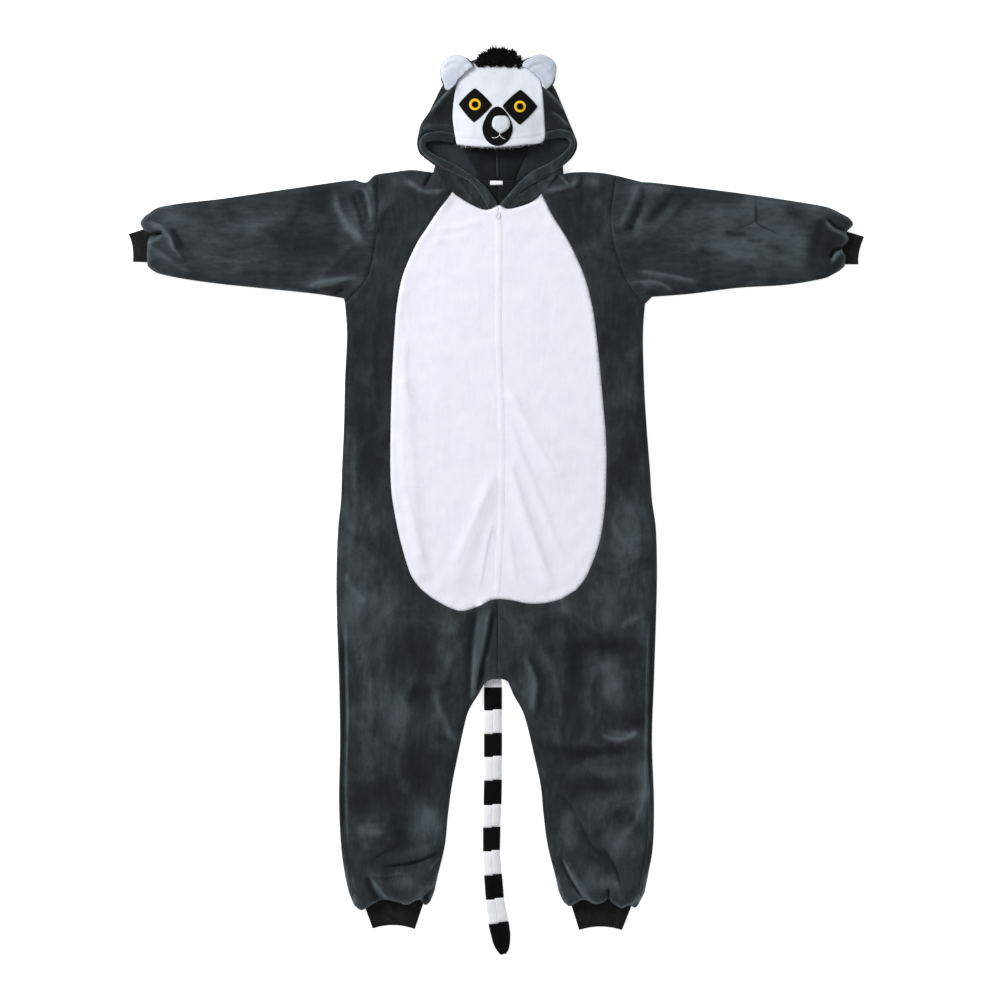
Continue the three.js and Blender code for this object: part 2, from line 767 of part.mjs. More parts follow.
// How far the whole body is lifted off the floor over the sewn end of the tail.
function lift(x, y) {
  const across = 1 - smoothstep(22, 58, Math.abs(x + 14));
  return 8.5 * across * (1 - smoothstep(-335, -300, y)) * smoothstep(-410, -362, y);
}

// Air under the hood's front: high over the face opening, low towards the crown and the neck.
function hoodAir(x, y) {
  const crown = smoothstep(MOUTH_Y - 45, MOUTH_Y + 4, y) * (1 - 0.72 * smoothstep(MOUTH_Y + 30, HOOD_TOP, y));
  const neck = smoothstep(585, 640, y) * (1 - smoothstep(690, 725, y));
  return HOOD_RISE * crown * bell(x - CENTRE, 100) + 5 * neck * (1 - smoothstep(110, 170, Math.abs(x)));
}

// Air between the two layers of cloth.
function air(x, y) {
  let value = LAID_GAP + EDGE_PUFF * bell(distanceToOutline(x, y, GARMENT), EDGE_PUFF_WIDTH) + hoodAir(x, y);
  for (const fold of FOLDS) {
    const away = distanceToSegment(x, y, [fold.x1, fold.y1], [fold.x2, fold.y2]);
    value += fold.height * bell(away, fold.width);
  }
  for (const puff of PUFFS) {
    value += puff.height * bell(Math.hypot((x - puff.x) / puff.reachX, (y - puff.y) / puff.reachY), 1);
  }
  return value;
}

// Half the height of the rounded turn of the cloth at a distance from the outline.
function turn(distance, radius, halfHeight) {
  const short = 1 - Math.min(1, Math.max(0, distance / radius));
  return halfHeight * Math.sqrt(1 - short * short);
}

function outside(x, y, side) {
  const half = PLUSH + air(x, y) / 2;
  return lift(x, y) + half + side * turn(distanceToOutline(x, y, GARMENT), EDGE_RADIUS, half);
}

function within(x, y, side) {
  const half = PLUSH + air(x, y) / 2;
  const distance = distanceToOutline(x, y, GARMENT) - PLUSH;
  return lift(x, y) + half + side * turn(distance, EDGE_RADIUS - PLUSH, half - PLUSH);
}

const frontSurface = (x, y) => outside(x, y, 1);

// Points on the crest and the flanks of each fold, and on each puff, so that the surface follows them.
function reliefPoints() {
  const points = [];
  for (const fold of FOLDS) {
    const length = Math.hypot(fold.x2 - fold.x1, fold.y2 - fold.y1);
    const along = [(fold.x2 - fold.x1) / length, (fold.y2 - fold.y1) / length];
    const steps = Math.max(2, Math.round(length / 70));
    for (let i = 0; i <= steps; i += 1) {
      for (const across of [-1.25, 0, 1.25]) {
        const x = fold.x1 + (along[0] * length * i) / steps - along[1] * across * fold.width;
        const y = fold.y1 + (along[1] * length * i) / steps + along[0] * across * fold.width;
        points.push([x + 0.3 * Math.sin(i + across), y + 0.3 * Math.cos(i)]);
      }
    }
  }
  for (const puff of PUFFS) {
    points.push([puff.x, puff.y], [puff.x + puff.reachX * 0.5, puff.y + 3], [puff.x - puff.reachX * 0.5, puff.y - 3]);
    points.push([puff.x + 3, puff.y + puff.reachY * 0.5], [puff.x - 3, puff.y - puff.reachY * 0.5]);
  }
  return points.filter(([x, y]) => isInside(x, y, GARMENT) && distanceToOutline(x, y, GARMENT) > 12);
}

function thinned(points, nearest) {
  const kept = [];
  for (const point of points) {
    if (clearOf([point], kept, nearest).length) kept.push(point);
  }
  return kept;
}

const LIFT_POINTS = [];
for (const y of [-298, -318, -340]) {
  for (const x of [-74, -48, -34, 6, 20, 46]) LIFT_POINTS.push([x + 0.02 * y, y + 0.01 * x]);
}
const LATTICE = 62;
const EDGE_RINGS = [2.6, EDGE_RADIUS];
const crest = thinned(reliefPoints(), 9);
const grid = clearOf(lattice(GARMENT, LATTICE, 22), crest, 15);
const hoodGrid = lattice(GARMENT, 30, 16).filter(([x, y]) => y > 690 && Math.abs(x) < 170);
const body = [...crest, ...clearOf(grid, LIFT_POINTS, 14).filter(([x, y]) => !(y > 682 && Math.abs(x) < 170))];
const inner = [...body, ...LIFT_POINTS, ...clearOf(hoodGrid, crest, 12)];
const rings = EDGE_RINGS.flatMap((distance) => inset(GARMENT, distance));
const underRing = inset(GARMENT, EDGE_RADIUS);

const outerSolid = slab(GARMENT, {
  top: (x, y) => outside(x, y, 1),
  bottom: (x, y) => outside(x, y, -1),
  topPoints: thinned([...rings, ...inner], 1.5),
  bottomPoints: thinned([...underRing, ...LIFT_POINTS], 1.5),
});
const innerOutline = inset(GARMENT, PLUSH);
const innerRing = inset(GARMENT, EDGE_RADIUS);
const innerSolid = slab(innerOutline, {
  top: (x, y) => within(x, y, 1),
  bottom: (x, y) => within(x, y, -1),
  topPoints: thinned([...innerRing, ...inner], 1.5),
  bottomPoints: thinned([...innerRing, ...LIFT_POINTS], 1.5),
});

// Cuffs: flattened tubes of rib, open at both ends.
const CUFF_HEIGHT = 2 * RIB + 1.2;
function cuffTube({ rootA, endA, endB, rootB }, grow, height, runOut) {
  const extend = (from, to, far) => {
    const length = Math.hypot(to[0] - from[0], to[1] - from[1]);
    return [to[0] + ((to[0] - from[0]) * far) / length, to[1] + ((to[1] - from[1]) * far) / length];
  };
  const sideA = [extend(endA, rootA, runOut), extend(rootA, endA, runOut)];
  const sideB = [extend(rootB, endB, runOut), extend(endB, rootB, runOut)];
  const quad = inset([...sideA, ...sideB].flatMap((point, index, all) => {
    const next = all[(index + 1) % 4];
    return [0, 0.5].map((t) => [point[0] + (next[0] - point[0]) * t, point[1] + (next[1] - point[1]) * t]);
  }), -grow);
  const half = height / 2;
  const toSide = (x, y) => Math.min(distanceToSegment(x, y, ...sideA), distanceToSegment(x, y, ...sideB)) + grow;
  const radius = CUFF_HEIGHT / 2 + grow;
  const rise = (x, y) => turn(toSide(x, y), radius, half);
  const middle = CUFF_HEIGHT / 2;
  const near = inset(quad, radius * 0.3);
  const flat = inset(quad, radius * 1.05);
  return slab(quad, {
    top: (x, y) => middle + rise(x, y),
    bottom: (x, y) => middle - rise(x, y),
    topPoints: [...near, ...flat],
    bottomPoints: [...near, ...flat],
  });
}

function cuffEnds({ rootA, endA, endB, rootB, arch }, rootReach) {
  const away = (from, to, far) => [from[0] + (from[0] - to[0]) * far, from[1] + (from[1] - to[1]) * far];
  const end = curve([endA, arch, endB].map(([x, y]) => ({ x, y })), 8);
  return [away(rootA, rootB, 0.5), away(endA, endB, 0.5), ...end, away(endB, endA, 0.5), away(rootB, rootA, 0.5)];
}

const cuffSolids = new Map();
const cuffSlots = [];
for (const cuff of CUFFS) {
  const tube = cuffTube(cuff, 0, CUFF_HEIGHT, 20).subtract(cuffTube(cuff, -RIB, CUFF_HEIGHT - 2 * RIB, 30));
  cuffSolids.set(cuff.name, tube.intersect(prism(cuffEnds(cuff))));
  const { rootA, rootB, endA, endB } = cuff;
  const footprint = inset(withoutRepeats([rootA, endA, endB, rootB].flatMap((point, index, all) => {
    const next = all[(index + 1) % 4];
    return [0, 0.25, 0.5, 0.75].map((t) => [point[0] + (next[0] - point[0]) * t, point[1] + (next[1] - point[1]) * t]);
  })), -SEAM);
  cuffSlots.push(prism(footprint, -20, CUFF_HEIGHT + SEAM));
}

const shell = outerSolid.subtract(innerSolid).subtract(joined(cuffSlots));

// A plan outline for one side of a seam, moved outwards by a margin so that the neighbour stays clear.
function grown(outline, margin = SEAM) {
  return inset(counterClockwise(outline), -margin);
}

// Sleeves: everything beyond the armhole seams, each a tube of one piece of cloth.
function beyondArmhole(side) {
  const line = curve(column(ARMHOLES, side), 30);
  const far = side === 'left' ? -900 : 900;
  return counterClockwise([...line, [far, line.at(-1)[1]], [far, line[0][1]]]);
}
const leftSleeve = beyondArmhole('left');
const rightSleeve = beyondArmhole('right');
sew('sleeve_left', shell.intersect(prism(leftSleeve)), SLATE);
sew('sleeve_right', shell.intersect(prism(rightSleeve)), SLATE);
const trunk = shell.subtract(prism(grown(leftSleeve))).subtract(prism(grown(rightSleeve)));

// Hood: in front it starts at the front neck seam, and behind at the higher back neck seam.
const aboveHood = [[200, 700], [200, 940], [-200, 940], [-200, 700]];
const hoodFront = counterClockwise([...curve(FRONT_NECK, 22), ...aboveHood]);
const hoodBack = counterClockwise([...curve(BACK_NECK, 26), ...aboveHood]);
const hoodTool = prism(hoodFront, SPLIT).add(prism(hoodBack, -20, SPLIT + 0.1));
const hoodToolGrown = prism(grown(hoodFront), SPLIT - 0.28).add(prism(grown(hoodBack), -20, SPLIT + 0.1));
const hoodShell = trunk.intersect(hoodTool);
const torso = trunk.subtract(hoodToolGrown);

// Front and back of torso and legs. The side seam runs just inside the outline, further in on the
// legs. At the ankles the front takes the whole bloused edge.
function seamInset(x, y) {
  if (y < -787) return -8;
  const outerLeg = x < -200 || x > 190;
  return outerLeg ? SIDE_SEAM_INSET + (LEG_SEAM_INSET - SIDE_SEAM_INSET) * smoothstep(-250, LEG_SEAM_START, y) : SIDE_SEAM_INSET;
}
const frontOutline = withoutRepeats(inset(GARMENT, seamInset), 1.5);
const frontTool = slab(frontOutline, {
  top: () => SKY,
  bottom: (x, y) => SPLIT + lift(x, y),
  bottomPoints: LIFT_POINTS,
});
const frontToolGrown = slab(withoutRepeats(grown(frontOutline), 1), {
  top: () => SKY,
  bottom: (x, y) => SPLIT - 0.28 + lift(x, y),
  bottomPoints: LIFT_POINTS,
});
const front = torso.intersect(frontTool);
const back = torso.subtract(frontToolGrown).subtract(frontTool);
const leftHalf = boxBetween(-1000, CENTRE - SEAM / 2);
const rightHalf = boxBetween(CENTRE + SEAM / 2, 1000);
sew('back_left', back.intersect(leftHalf), SLATE);
sew('back_right', back.intersect(rightHalf), SLATE);

// White belly in two halves, with the placket band down the middle.
const belly = counterClockwise([
  ...curve(column(BELLY_SIDES, 'left'), 46),
  ...curve(BELLY_HEM, 26),
  ...curve(column(BELLY_SIDES, 'right').reverse(), 46),
]);
const placketMiddle = curve(PLACKET_LINE, 90);
function alongPlacket(halfWidth, runOut) {
  const first = placketMiddle[0];
  const last = placketMiddle.at(-1);
  const line = [[first[0], first[1] + runOut], ...placketMiddle, [last[0], last[1] - runOut]];
  return counterClockwise([
    ...line.map(([x, y]) => [x - halfWidth, y]),
    ...line.map(([x, y]) => [x + halfWidth, y]).reverse(),
  ]);
}
const bellyTool = prism(belly);
const bellyFront = front.intersect(bellyTool);
const placketSlot = prism(alongPlacket(PLACKET_WIDTH / 2 + SEAM, 40));
const bellyHalves = bellyFront.subtract(placketSlot);
sew('belly_left', bellyHalves.intersect(boxBetween(-1000, CENTRE)), WHITE_PLUSH);
sew('belly_right', bellyHalves.intersect(boxBetween(CENTRE, 1000)), WHITE_PLUSH);
const placketPlan = alongPlacket(PLACKET_WIDTH / 2, 20);
const placket = slab(placketPlan, {
  top: (x, y) => frontSurface(x, y) + PLACKET_RISE,
  bottom: (x, y) => frontSurface(x, y) - PLUSH,
  topPoints: placketMiddle,
  bottomPoints: placketMiddle,
});
const belowNeck = prism([[-60, -400], [60, -400], [60, 579], [-60, 579]]);
sew('placket', placket.intersect(prism(inset(belly, SEAM))).intersect(belowNeck), WHITE_PLUSH);
const darkFront = front.subtract(prism(grown(belly)));
sew('front_left', darkFront.intersect(leftHalf), SLATE);
sew('front_right', darkFront.intersect(rightHalf), SLATE);

function disc(x, y, radius, corners) {
  return Array.from({ length: corners }, (_, index) => {
    const angle = (index / corners) * Math.PI * 2;
    return [x + radius * Math.cos(angle), y + radius * Math.sin(angle)];
  });
}

const placketTop = (x, y) => frontSurface(x, y) + PLACKET_RISE;
const buttonLevel = placketTop(BUTTON_AT.x, BUTTON_AT.y) + 1;
sew('button', slab(disc(BUTTON_AT.x, BUTTON_AT.y, BUTTON_RADIUS, 16), {
  top: () => buttonLevel + 2.4,
  bottom: () => buttonLevel,
}), PEARL);

// Hood: face panel, rim bands, the two sides that wrap round to the back, and the back's middle.
const face = counterClockwise(withoutRepeats(curve([...FACE, FACE[0]], 24)));
const leftBand = counterClockwise([...curve(LEFT_BAND_OUTER, 17), ...curve(LEFT_BAND_INNER, 17).reverse()]);
const rightBand = counterClockwise([...curve(RIGHT_BAND_OUTER, 17), ...curve(RIGHT_BAND_INNER, 17).reverse()]);
const opening = counterClockwise([
  ...curve(LEFT_BAND_OUTER, 17),
  [-28, 560],
  [14, 560],
  ...curve(RIGHT_BAND_OUTER, 17).reverse(),
]);
const faceTool = prism(grown(face), SPLIT - 0.28);
const openHood = hoodShell.subtract(prism(opening, SPLIT - 0.28)).subtract(faceTool);
const middle = counterClockwise([
  [-39, 600], [-39, 637], [-54, 670], [-68, 706], [-73, 760], [-73, 820], [-63, 950],
  [55, 950], [65, 820], [65, 760], [58, 706], [44, 670], [31, 637], [31, 600],
]);
const hoodMiddle = openHood.intersect(prism(middle));
sew('hood_middle_left', hoodMiddle.intersect(leftHalf), SLATE);
sew('hood_middle_right', hoodMiddle.intersect(rightHalf), SLATE);
const hoodSides = openHood.subtract(prism(grown(middle)));
sew('hood_side_left', hoodSides.intersect(boxBetween(-1000, CENTRE)), SLATE);
sew('hood_side_right', hoodSides.intersect(boxBetween(CENTRE, 1000)), SLATE);

const faceSolid = slab(face, {
  top: (x, y) => frontSurface(x, y) + FACE_PILE,
  bottom: (x, y) => frontSurface(x, y) - PLUSH,
  topPoints: lattice(face, 24, 8),
  bottomPoints: lattice(face, 36, 12),
});
sew('face', faceSolid, WHITE_PLUSH);
const faceTop = (x, y) => frontSurface(x, y) + FACE_PILE;

function band(outline) {
  const shape = inset(outline, SEAM);
  const rounded = (x, y) => turn(distanceToOutline(x, y, shape), 6, 1);
  const crestLine = inset(shape, 2.2);
  return slab(shape, {
    top: (x, y) => frontSurface(x, y) - 2 + (BAND_RISE + 2) * rounded(x, y),
    bottom: (x, y) => frontSurface(x, y) - PLUSH - 0.5,
    topPoints: thinned([...crestLine, ...inset(shape, 6)], 3),
  }).subtract(faceTool);
}
sew('band_left', band(leftBand).subtract(front).intersect(leftHalf), SLATE);
sew('band_right', band(rightBand).subtract(front).intersect(rightHalf), SLATE);

// What lies on the face: felt pieces, each seated on the piece below it.
const SINK = 1.2; // how far a seated piece reaches down before its seat is cut away
function seated(piece, below) {
  return piece.subtract(below.translate([0, 0, SEAM])).subtract(below);
}
function onSurface(plan, surface, thickness, below, rows = []) {
  const piece = slab(plan, {
    top: (x, y) => surface(x, y) + SEAM + thickness,
    bottom: (x, y) => surface(x, y) - SINK,
    topPoints: rows,
  });
  return seated(piece, below);
}

const PATCH_EXPONENT = 1.25;
for (const { side, x, y, halfWidth, halfHeight } of EYE_PATCHES) {
  const plan = disc(0, 0, 1, 28).map(([cos, sin]) => {
    const reach = (Math.abs(cos) ** PATCH_EXPONENT + Math.abs(sin) ** PATCH_EXPONENT) ** (-1 / PATCH_EXPONENT);
    return [x + halfWidth * reach * cos, y + halfHeight * reach * sin];
  });
  const patchTop = (px, py) => faceTop(px, py) + SEAM + FELT;
  const irisTop = (px, py) => patchTop(px, py) + SEAM + FELT;
  const patch = onSurface(plan, faceTop, FELT, faceSolid, disc(x, y, 14, 6));
  const iris = onSurface(disc(x, y, IRIS_RADIUS, 20), patchTop, FELT, patch);
  const pupil = onSurface(disc(x, y, PUPIL_RADIUS, 14), irisTop, FELT, iris);
  sew(`eye_patch_${side}`, patch, BLACK_FELT);
  sew(`iris_${side}`, iris, YELLOW_FELT);
  sew(`pupil_${side}`, pupil, BLACK_FELT);
}

const muzzle = disc(0, 0, 1, 30).map(([cos, sin]) => {
  const narrow = sin > 0 ? 1 - 0.25 * sin : 1;
  const reach = sin > 0 ? MUZZLE.top - MUZZLE.widest : MUZZLE.widest - MUZZLE.bottom;
  return [MUZZLE.x + MUZZLE.halfWidth * cos * narrow, MUZZLE.widest + reach * sin];
});
const muzzleSolid = onSurface(muzzle, faceTop, FELT, faceSolid, disc(MUZZLE.x, MUZZLE.widest, 16, 7));
sew('muzzle', muzzleSolid, BLACK_FELT);

const muzzleTop = (x, y) => faceTop(x, y) + SEAM + FELT;
const nose = disc(0, 0, 1, 20).map(([cos, sin]) => {
  const squared = sin > 0.3 ? 1.08 : 1;
  return [NOSE.x + NOSE.halfWidth * cos * squared, NOSE.y + NOSE.halfHeight * sin];
});
const noseSolid = slab(nose, {
  top: (x, y) => muzzleTop(x, y) + SEAM + 1 + NOSE.rise * turn(distanceToOutline(x, y, nose), NOSE.halfWidth, 1),
  bottom: (x, y) => muzzleTop(x, y) - SINK,
  topPoints: [...inset(nose, 3), ...inset(nose, 9), [NOSE.x, NOSE.y]],
});
sew('nose', seated(noseSolid, muzzleSolid), GREY_FELT);

// Takes away what would reach into the garment below, with a seam's air above it.
const garmentRaised = outerSolid.translate([0, 0, SEAM]);
const faceRaised = prism(grown(face, SEAM));

// Ears: a white front on a dark back that shows as a thin edge, sewn on over the hood's edge.
const EAR_TIP_HEIGHT = 3;
const EAR_SEAT_HEIGHT = 12;
function earHeight(x, y) {
  if (isInside(x, y, GARMENT)) return Math.max(frontSurface(x, y), EAR_SEAT_HEIGHT) + SEAM;
  const drop = 1 - smoothstep(4, 34, distanceToOutline(x, y, GARMENT));
  return EAR_TIP_HEIGHT + (EAR_SEAT_HEIGHT - EAR_TIP_HEIGHT) * drop + SEAM;
}
for (const [side, rows] of [['left', LEFT_EAR], ['right', RIGHT_EAR]]) {
  const plan = counterClockwise(withoutRepeats(curve(rows, 9)));
  const backTop = (x, y) => earHeight(x, y) + PLUSH;
  const clothPoints = lattice(plan, 18, 5);
  const earBack = slab(inset(plan, -EAR_BACK_EDGE), {
    top: backTop,
    bottom: earHeight,
    topPoints: clothPoints,
    bottomPoints: clothPoints,
  }).subtract(garmentRaised).subtract(faceRaised);
  const earFront = slab(plan, {
    top: (x, y) => backTop(x, y) + SEAM + PLUSH + 2 * turn(distanceToOutline(x, y, plan), 12, 1),
    bottom: (x, y) => backTop(x, y) - SINK,
    topPoints: clothPoints,
  }).subtract(faceRaised);
  sew(`ear_back_${side}`, earBack, SLATE);
  sew(`ear_front_${side}`, seated(earFront, earBack), WHITE_PLUSH);
}

// Hair tuft: a padded half round over the forehead, as high as its fur.
const tuft = counterClockwise(withoutRepeats(curve([...TUFT, { x: CENTRE, y: 868 }, TUFT[0]], 10)));
function tuftSeat(x, y) {
  return isInside(x, y, GARMENT) ? frontSurface(x, y) : 3 + (frontSurface(x, HOOD_TOP - 8) - 3) * 0.5;
}
const earsGrown = prism(grown(counterClockwise(curve(RIGHT_EAR, 9)), EAR_BACK_EDGE + SEAM))
  .add(prism(grown(counterClockwise(curve(LEFT_EAR, 9)), EAR_BACK_EDGE + SEAM)));
sew('tuft', slab(tuft, {
  top: (x, y) => tuftSeat(x, y) + SEAM + 3 + TUFT_RISE * turn(distanceToOutline(x, y, tuft), 17, 1),
  bottom: (x, y) => tuftSeat(x, y) + SEAM,
  topPoints: [...inset(tuft, 3), ...lattice(tuft, 15, 8)],
  bottomPoints: lattice(tuft, 18, 5),
}).subtract(garmentRaised).subtract(faceRaised).subtract(earsGrown), BLACK_PLUSH);

// The neck label lies flat on the inside of the back.
const { x: labelX, y: labelY, width: labelWidth, length: labelLength } = LABEL;
sew('neck_label', slab([
  [labelX, labelY], [labelX + labelWidth, labelY],
  [labelX + labelWidth, labelY + labelLength], [labelX, labelY + labelLength],
], { top: () => PLUSH + SEAM + 0.8, bottom: () => PLUSH + SEAM }), WHITE_SATIN);

for (const { name } of CUFFS) sew(name, cuffSolids.get(name), BLACK_RIB);

// Tail: a stuffed tube of bands, flat where it lies on the floor and pressed flat where it is sewn
// under the seat. Each section is a half round over a flat base.
const SECTION = [[-1, 0.3], [-0.8, 0], [0.8, 0], [1, 0.3], [0.96, 0.66], [0.66, 0.93], [0.24, 1], [-0.24, 1], [-0.66, 0.93], [-0.96, 0.66]];
const tailRows = [{ y: TAIL_ROOT_Y, left: -30, right: 2 }, ...TAIL_BANDS];
function tailSection(y) {
  const index = Math.min(tailRows.length - 2, tailRows.findIndex((row, i) => i > 0 && row.y <= y) - 1);
  const above = tailRows[Math.max(0, index)];
  const below = tailRows[Math.max(0, index) + 1];
  const t = (above.y - y) / (above.y - below.y);
  const left = above.left + (below.left - above.left) * t;
  const right = above.right + (below.right - above.right) * t;
  const swell = smoothstep(-352, -400, y);
  const tip = 1 - 0.35 * smoothstep(-860, -908, y);
  const thick = (TAIL_ROOT_THICK + (TAIL_THICK - TAIL_ROOT_THICK) * swell) * tip;
  return SECTION.map(([across, up]) => [(left + right) / 2 + (across * (right - left)) / 2, y, up * thick]);
}
function loft(sections) {
  const positions = [];
  const ring = sections[0].length;
  const quad = (a, b, c, d) => positions.push(...a, ...b, ...c, ...a, ...c, ...d);
  for (let i = 0; i + 1 < sections.length; i += 1) {
    for (let j = 0; j < ring; j += 1) {
      const next = (j + 1) % ring;
      quad(sections[i][j], sections[i][next], sections[i + 1][next], sections[i + 1][j]);
    }
  }
  for (let j = 1; j + 1 < ring; j += 1) {
    const last = sections.at(-1);
    positions.push(...sections[0][0], ...sections[0][j + 1], ...sections[0][j]);
    positions.push(...last[0], ...last[j], ...last[j + 1]);
  }
  const geometry = new THREE.BufferGeometry();
  geometry.setAttribute('position', new THREE.Float32BufferAttribute(positions, 3));
  return solid(geometry);
}
const garmentLowered = outerSolid.add(outerSolid.translate([0, 0, -SEAM]));
TAIL_BANDS.forEach((row, index) => {
  const from = tailRows[index].y - (index > 0 ? SEAM / 2 : 0);
  const to = row.y + (index + 1 < TAIL_BANDS.length ? SEAM / 2 : 0);
  const isTip = index + 1 === TAIL_BANDS.length;
  const stops = isTip ? [0, 0.3, 0.6, 0.82, 0.94, 1] : [0, 0.5, 1];
  const sections = stops.map((t) => tailSection(from + (to - from) * t));
  const material = index % 2 === 0 ? WHITE_PLUSH : BLACK_PLUSH;
  const tailPiece = loft(sections).subtract(garmentLowered);
  sew(`tail_band_${String(index + 1).padStart(2, '0')}`, tailPiece, material);
});

export default onesie;
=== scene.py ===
import math

import bpy
import numpy as np
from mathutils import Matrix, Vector
from mathutils.geometry import delaunay_2d_cdt
from mathutils.kdtree import KDTree


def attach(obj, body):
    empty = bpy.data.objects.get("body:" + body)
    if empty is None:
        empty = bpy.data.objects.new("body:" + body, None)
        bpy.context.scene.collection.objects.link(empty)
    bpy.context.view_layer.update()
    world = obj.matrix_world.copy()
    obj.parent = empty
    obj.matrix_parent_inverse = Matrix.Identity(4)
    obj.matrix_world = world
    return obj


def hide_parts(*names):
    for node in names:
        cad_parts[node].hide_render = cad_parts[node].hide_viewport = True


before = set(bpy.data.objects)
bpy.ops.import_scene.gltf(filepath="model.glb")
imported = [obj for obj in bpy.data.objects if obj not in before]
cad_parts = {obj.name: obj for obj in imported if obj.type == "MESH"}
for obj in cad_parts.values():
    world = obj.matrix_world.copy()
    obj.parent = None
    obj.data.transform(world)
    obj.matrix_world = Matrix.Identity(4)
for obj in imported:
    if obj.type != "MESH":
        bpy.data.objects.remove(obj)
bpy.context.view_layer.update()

# Lemur onesie laid out flat on its back. Every table is in millimetres, seen from above: x to the
# right of the picture, y towards the hood, z up from the floor.

CLOTH = 2.4  # wall of the plush cloth without its nap
PLUSH = 3.0  # the same wall with its nap
LAID_GAP = 0.8
LEAST_AIR = 0.2
EDGE_PUFF = 4.5
EDGE_PUFF_WIDTH = 36
EDGE_RADIUS = 9
CENTRE = -4
SIDE_SEAM_INSET = 5
LEG_SEAM_INSET = 12
HOOD_TOP = 890
HOOD_RISE = 27
MOUTH_Y = 706
FACE_PILE = 1.6
BAND_RISE = 4.2
BAND_SUNK = 2.4
FELT = 1.6
SEAM = 0.3
SUNK = 0.6  # how deep a piece sinks into the pile below it
CUFF_THICK = 5.6
PLACKET_HALF = 8.5
PLACKET_RISE = 0.9
PLACKET_TOP = 581
PLACKET_FOOT = -199
ANKLE_HEMS_Y = -730
WRIST_HEMS_X = 655

BODY_SIDES = [
    (392, -310, 290), (330, -306, 286), (240, -310, 288), (150, -312, 293), (60, -316, 300),
    (0, -318, 304), (-60, -324, 312), (-150, -327, 314), (-240, -326, 312), (-360, -322, 308),
    (-480, -320, 304), (-600, -322, 308), (-690, -318, 306), (-750, -310, 296), (-785, -302, 289),
]
INNER_LEGS = [
    (-358, -14, 4), (-364, -28, 16), (-390, -44, 27), (-420, -62, 44), (-450, -71, 54), (-510, -84, 68),
    (-570, -96, 81), (-630, -104, 87), (-690, -110, 95), (-750, -124, 110), (-782, -131, 117),
]
LEFT_LEG_HEM = [
    (-292, -810), (-277, -820), (-256, -809), (-234, -799), (-208, -803), (-186, -809), (-163, -799),
    (-149, -810), (-139, -802),
]
RIGHT_LEG_HEM = [
    (281, -800), (271, -815), (258, -810), (243, -816), (226, -807), (217, -797), (207, -804),
    (190, -808), (168, -799), (152, -806), (138, -812), (126, -802),
]
LEFT_SLEEVE = [
    (-697, 577, 460), (-680, 586, 452), (-632, 594, 442), (-560, 602, 432), (-464, 616, 422),
    (-368, 630, 412), (-312, 638, 403),
]
RIGHT_SLEEVE = [
    (680, 574, 459), (664, 582, 450), (644, 588, 442), (572, 600, 430), (476, 614, 424),
    (380, 626, 412), (304, 635, 406),
]
LEFT_WRIST_LOBES = [
    (-711, 567), (-719, 554), (-712, 540), (-697, 531), (-704, 519), (-706, 492), (-705, 467),
]
RIGHT_WRIST_LOBES = [
    (697, 565), (706, 551), (693, 535), (697, 521), (684, 503), (690, 487), (689, 467),
]
LEFT_SHOULDER = [
    (-290, 640), (-267, 635), (-249, 650), (-212, 656), (-178, 660), (-150, 657), (-134, 655),
]
RIGHT_SHOULDER = [
    (284, 636), (260, 642), (236, 648), (204, 654), (172, 656), (144, 655), (127, 652),
]
HOOD_SIDES = [
    (668, -130, 126), (680, -146, 140), (692, -160, 149), (704, -165, 154), (716, -166, 154),
    (728, -164, 150), (752, -158, 140), (776, -142, 130), (800, -130, 120), (824, -118, 109),
    (848, -100, 92), (868, -76, 68), (882, -46, 38),
]
ARMHOLES = [
    (700, -243, 233), (640, -243, 231), (592, -243, 224), (558, -244, 222), (518, -248, 227),
    (476, -256, 239), (440, -268, 253), (410, -293, 275), (390, -316, 298),
]
FRONT_NECK = [
    (-160, 682), (-133, 656), (-112, 636), (-96, 616), (-60, 592), (-28, 580), (-4, 590), (18, 582),
    (60, 594), (84, 613), (108, 638), (127, 653), (154, 680),
]
BACK_NECK = [
    (-160, 682), (-133, 656), (-90, 642), (-40, 637), (34, 637), (84, 642), (127, 653), (154, 680),
]
BELLY_SIDES = [
    (636, -82, 70), (612, -98, 83), (596, -110, 91), (572, -128, 103), (540, -149, 123),
    (510, -168, 141), (450, -194, 168), (390, -206, 184), (330, -211, 193), (240, -216, 202),
    (120, -219, 212), (30, -218, 212), (-30, -210, 208), (-90, -197, 197), (-150, -178, 174),
    (-180, -156, 152),
]
BELLY_HEM = [
    (-136, -196), (-104, -214), (-76, -222), (-44, -213), (-14, -199), (20, -200), (56, -207),
    (90, -206), (122, -198),
]
PLACKET_LINE = [
    (-3, 592), (-2, 480), (-3, 340), (2, 180), (4, 100), (2, -40), (-3, -120), (-6, -203),
]
LEFT_BAND_OUTER = [
    (-90, 732), (-120, 737), (-148, 733), (-160, 720), (-161, 705), (-149, 687), (-123, 669),
    (-93, 654), (-66, 640), (-46, 620), (-35, 602), (-24, 581),
]
LEFT_BAND_INNER = [
    (-90, 714), (-120, 718), (-140, 717), (-149, 712), (-144, 700), (-123, 686), (-93, 672), (-66, 656),
    (-40, 637), (-24, 621), (-3, 590),
]
RIGHT_BAND_OUTER = [
    (90, 736), (120, 741), (142, 735), (150, 722), (149, 702), (137, 682), (118, 661), (94, 646),
    (66, 632), (44, 618), (29, 604), (13, 583),
]
RIGHT_BAND_INNER = [
    (90, 720), (118, 724), (134, 722), (140, 714), (136, 704), (120, 688), (94, 672), (66, 658),
    (40, 637), (24, 619), (-2, 590),
]
FACE = [
    (-87, 711), (-60, 707), (-4, 705), (50, 710), (87, 718), (89, 762), (83, 832), (74, 846), (60, 859),
    (42, 866), (-4, 869), (-48, 866), (-64, 858), (-78, 845), (-87, 832), (-95, 768),
]
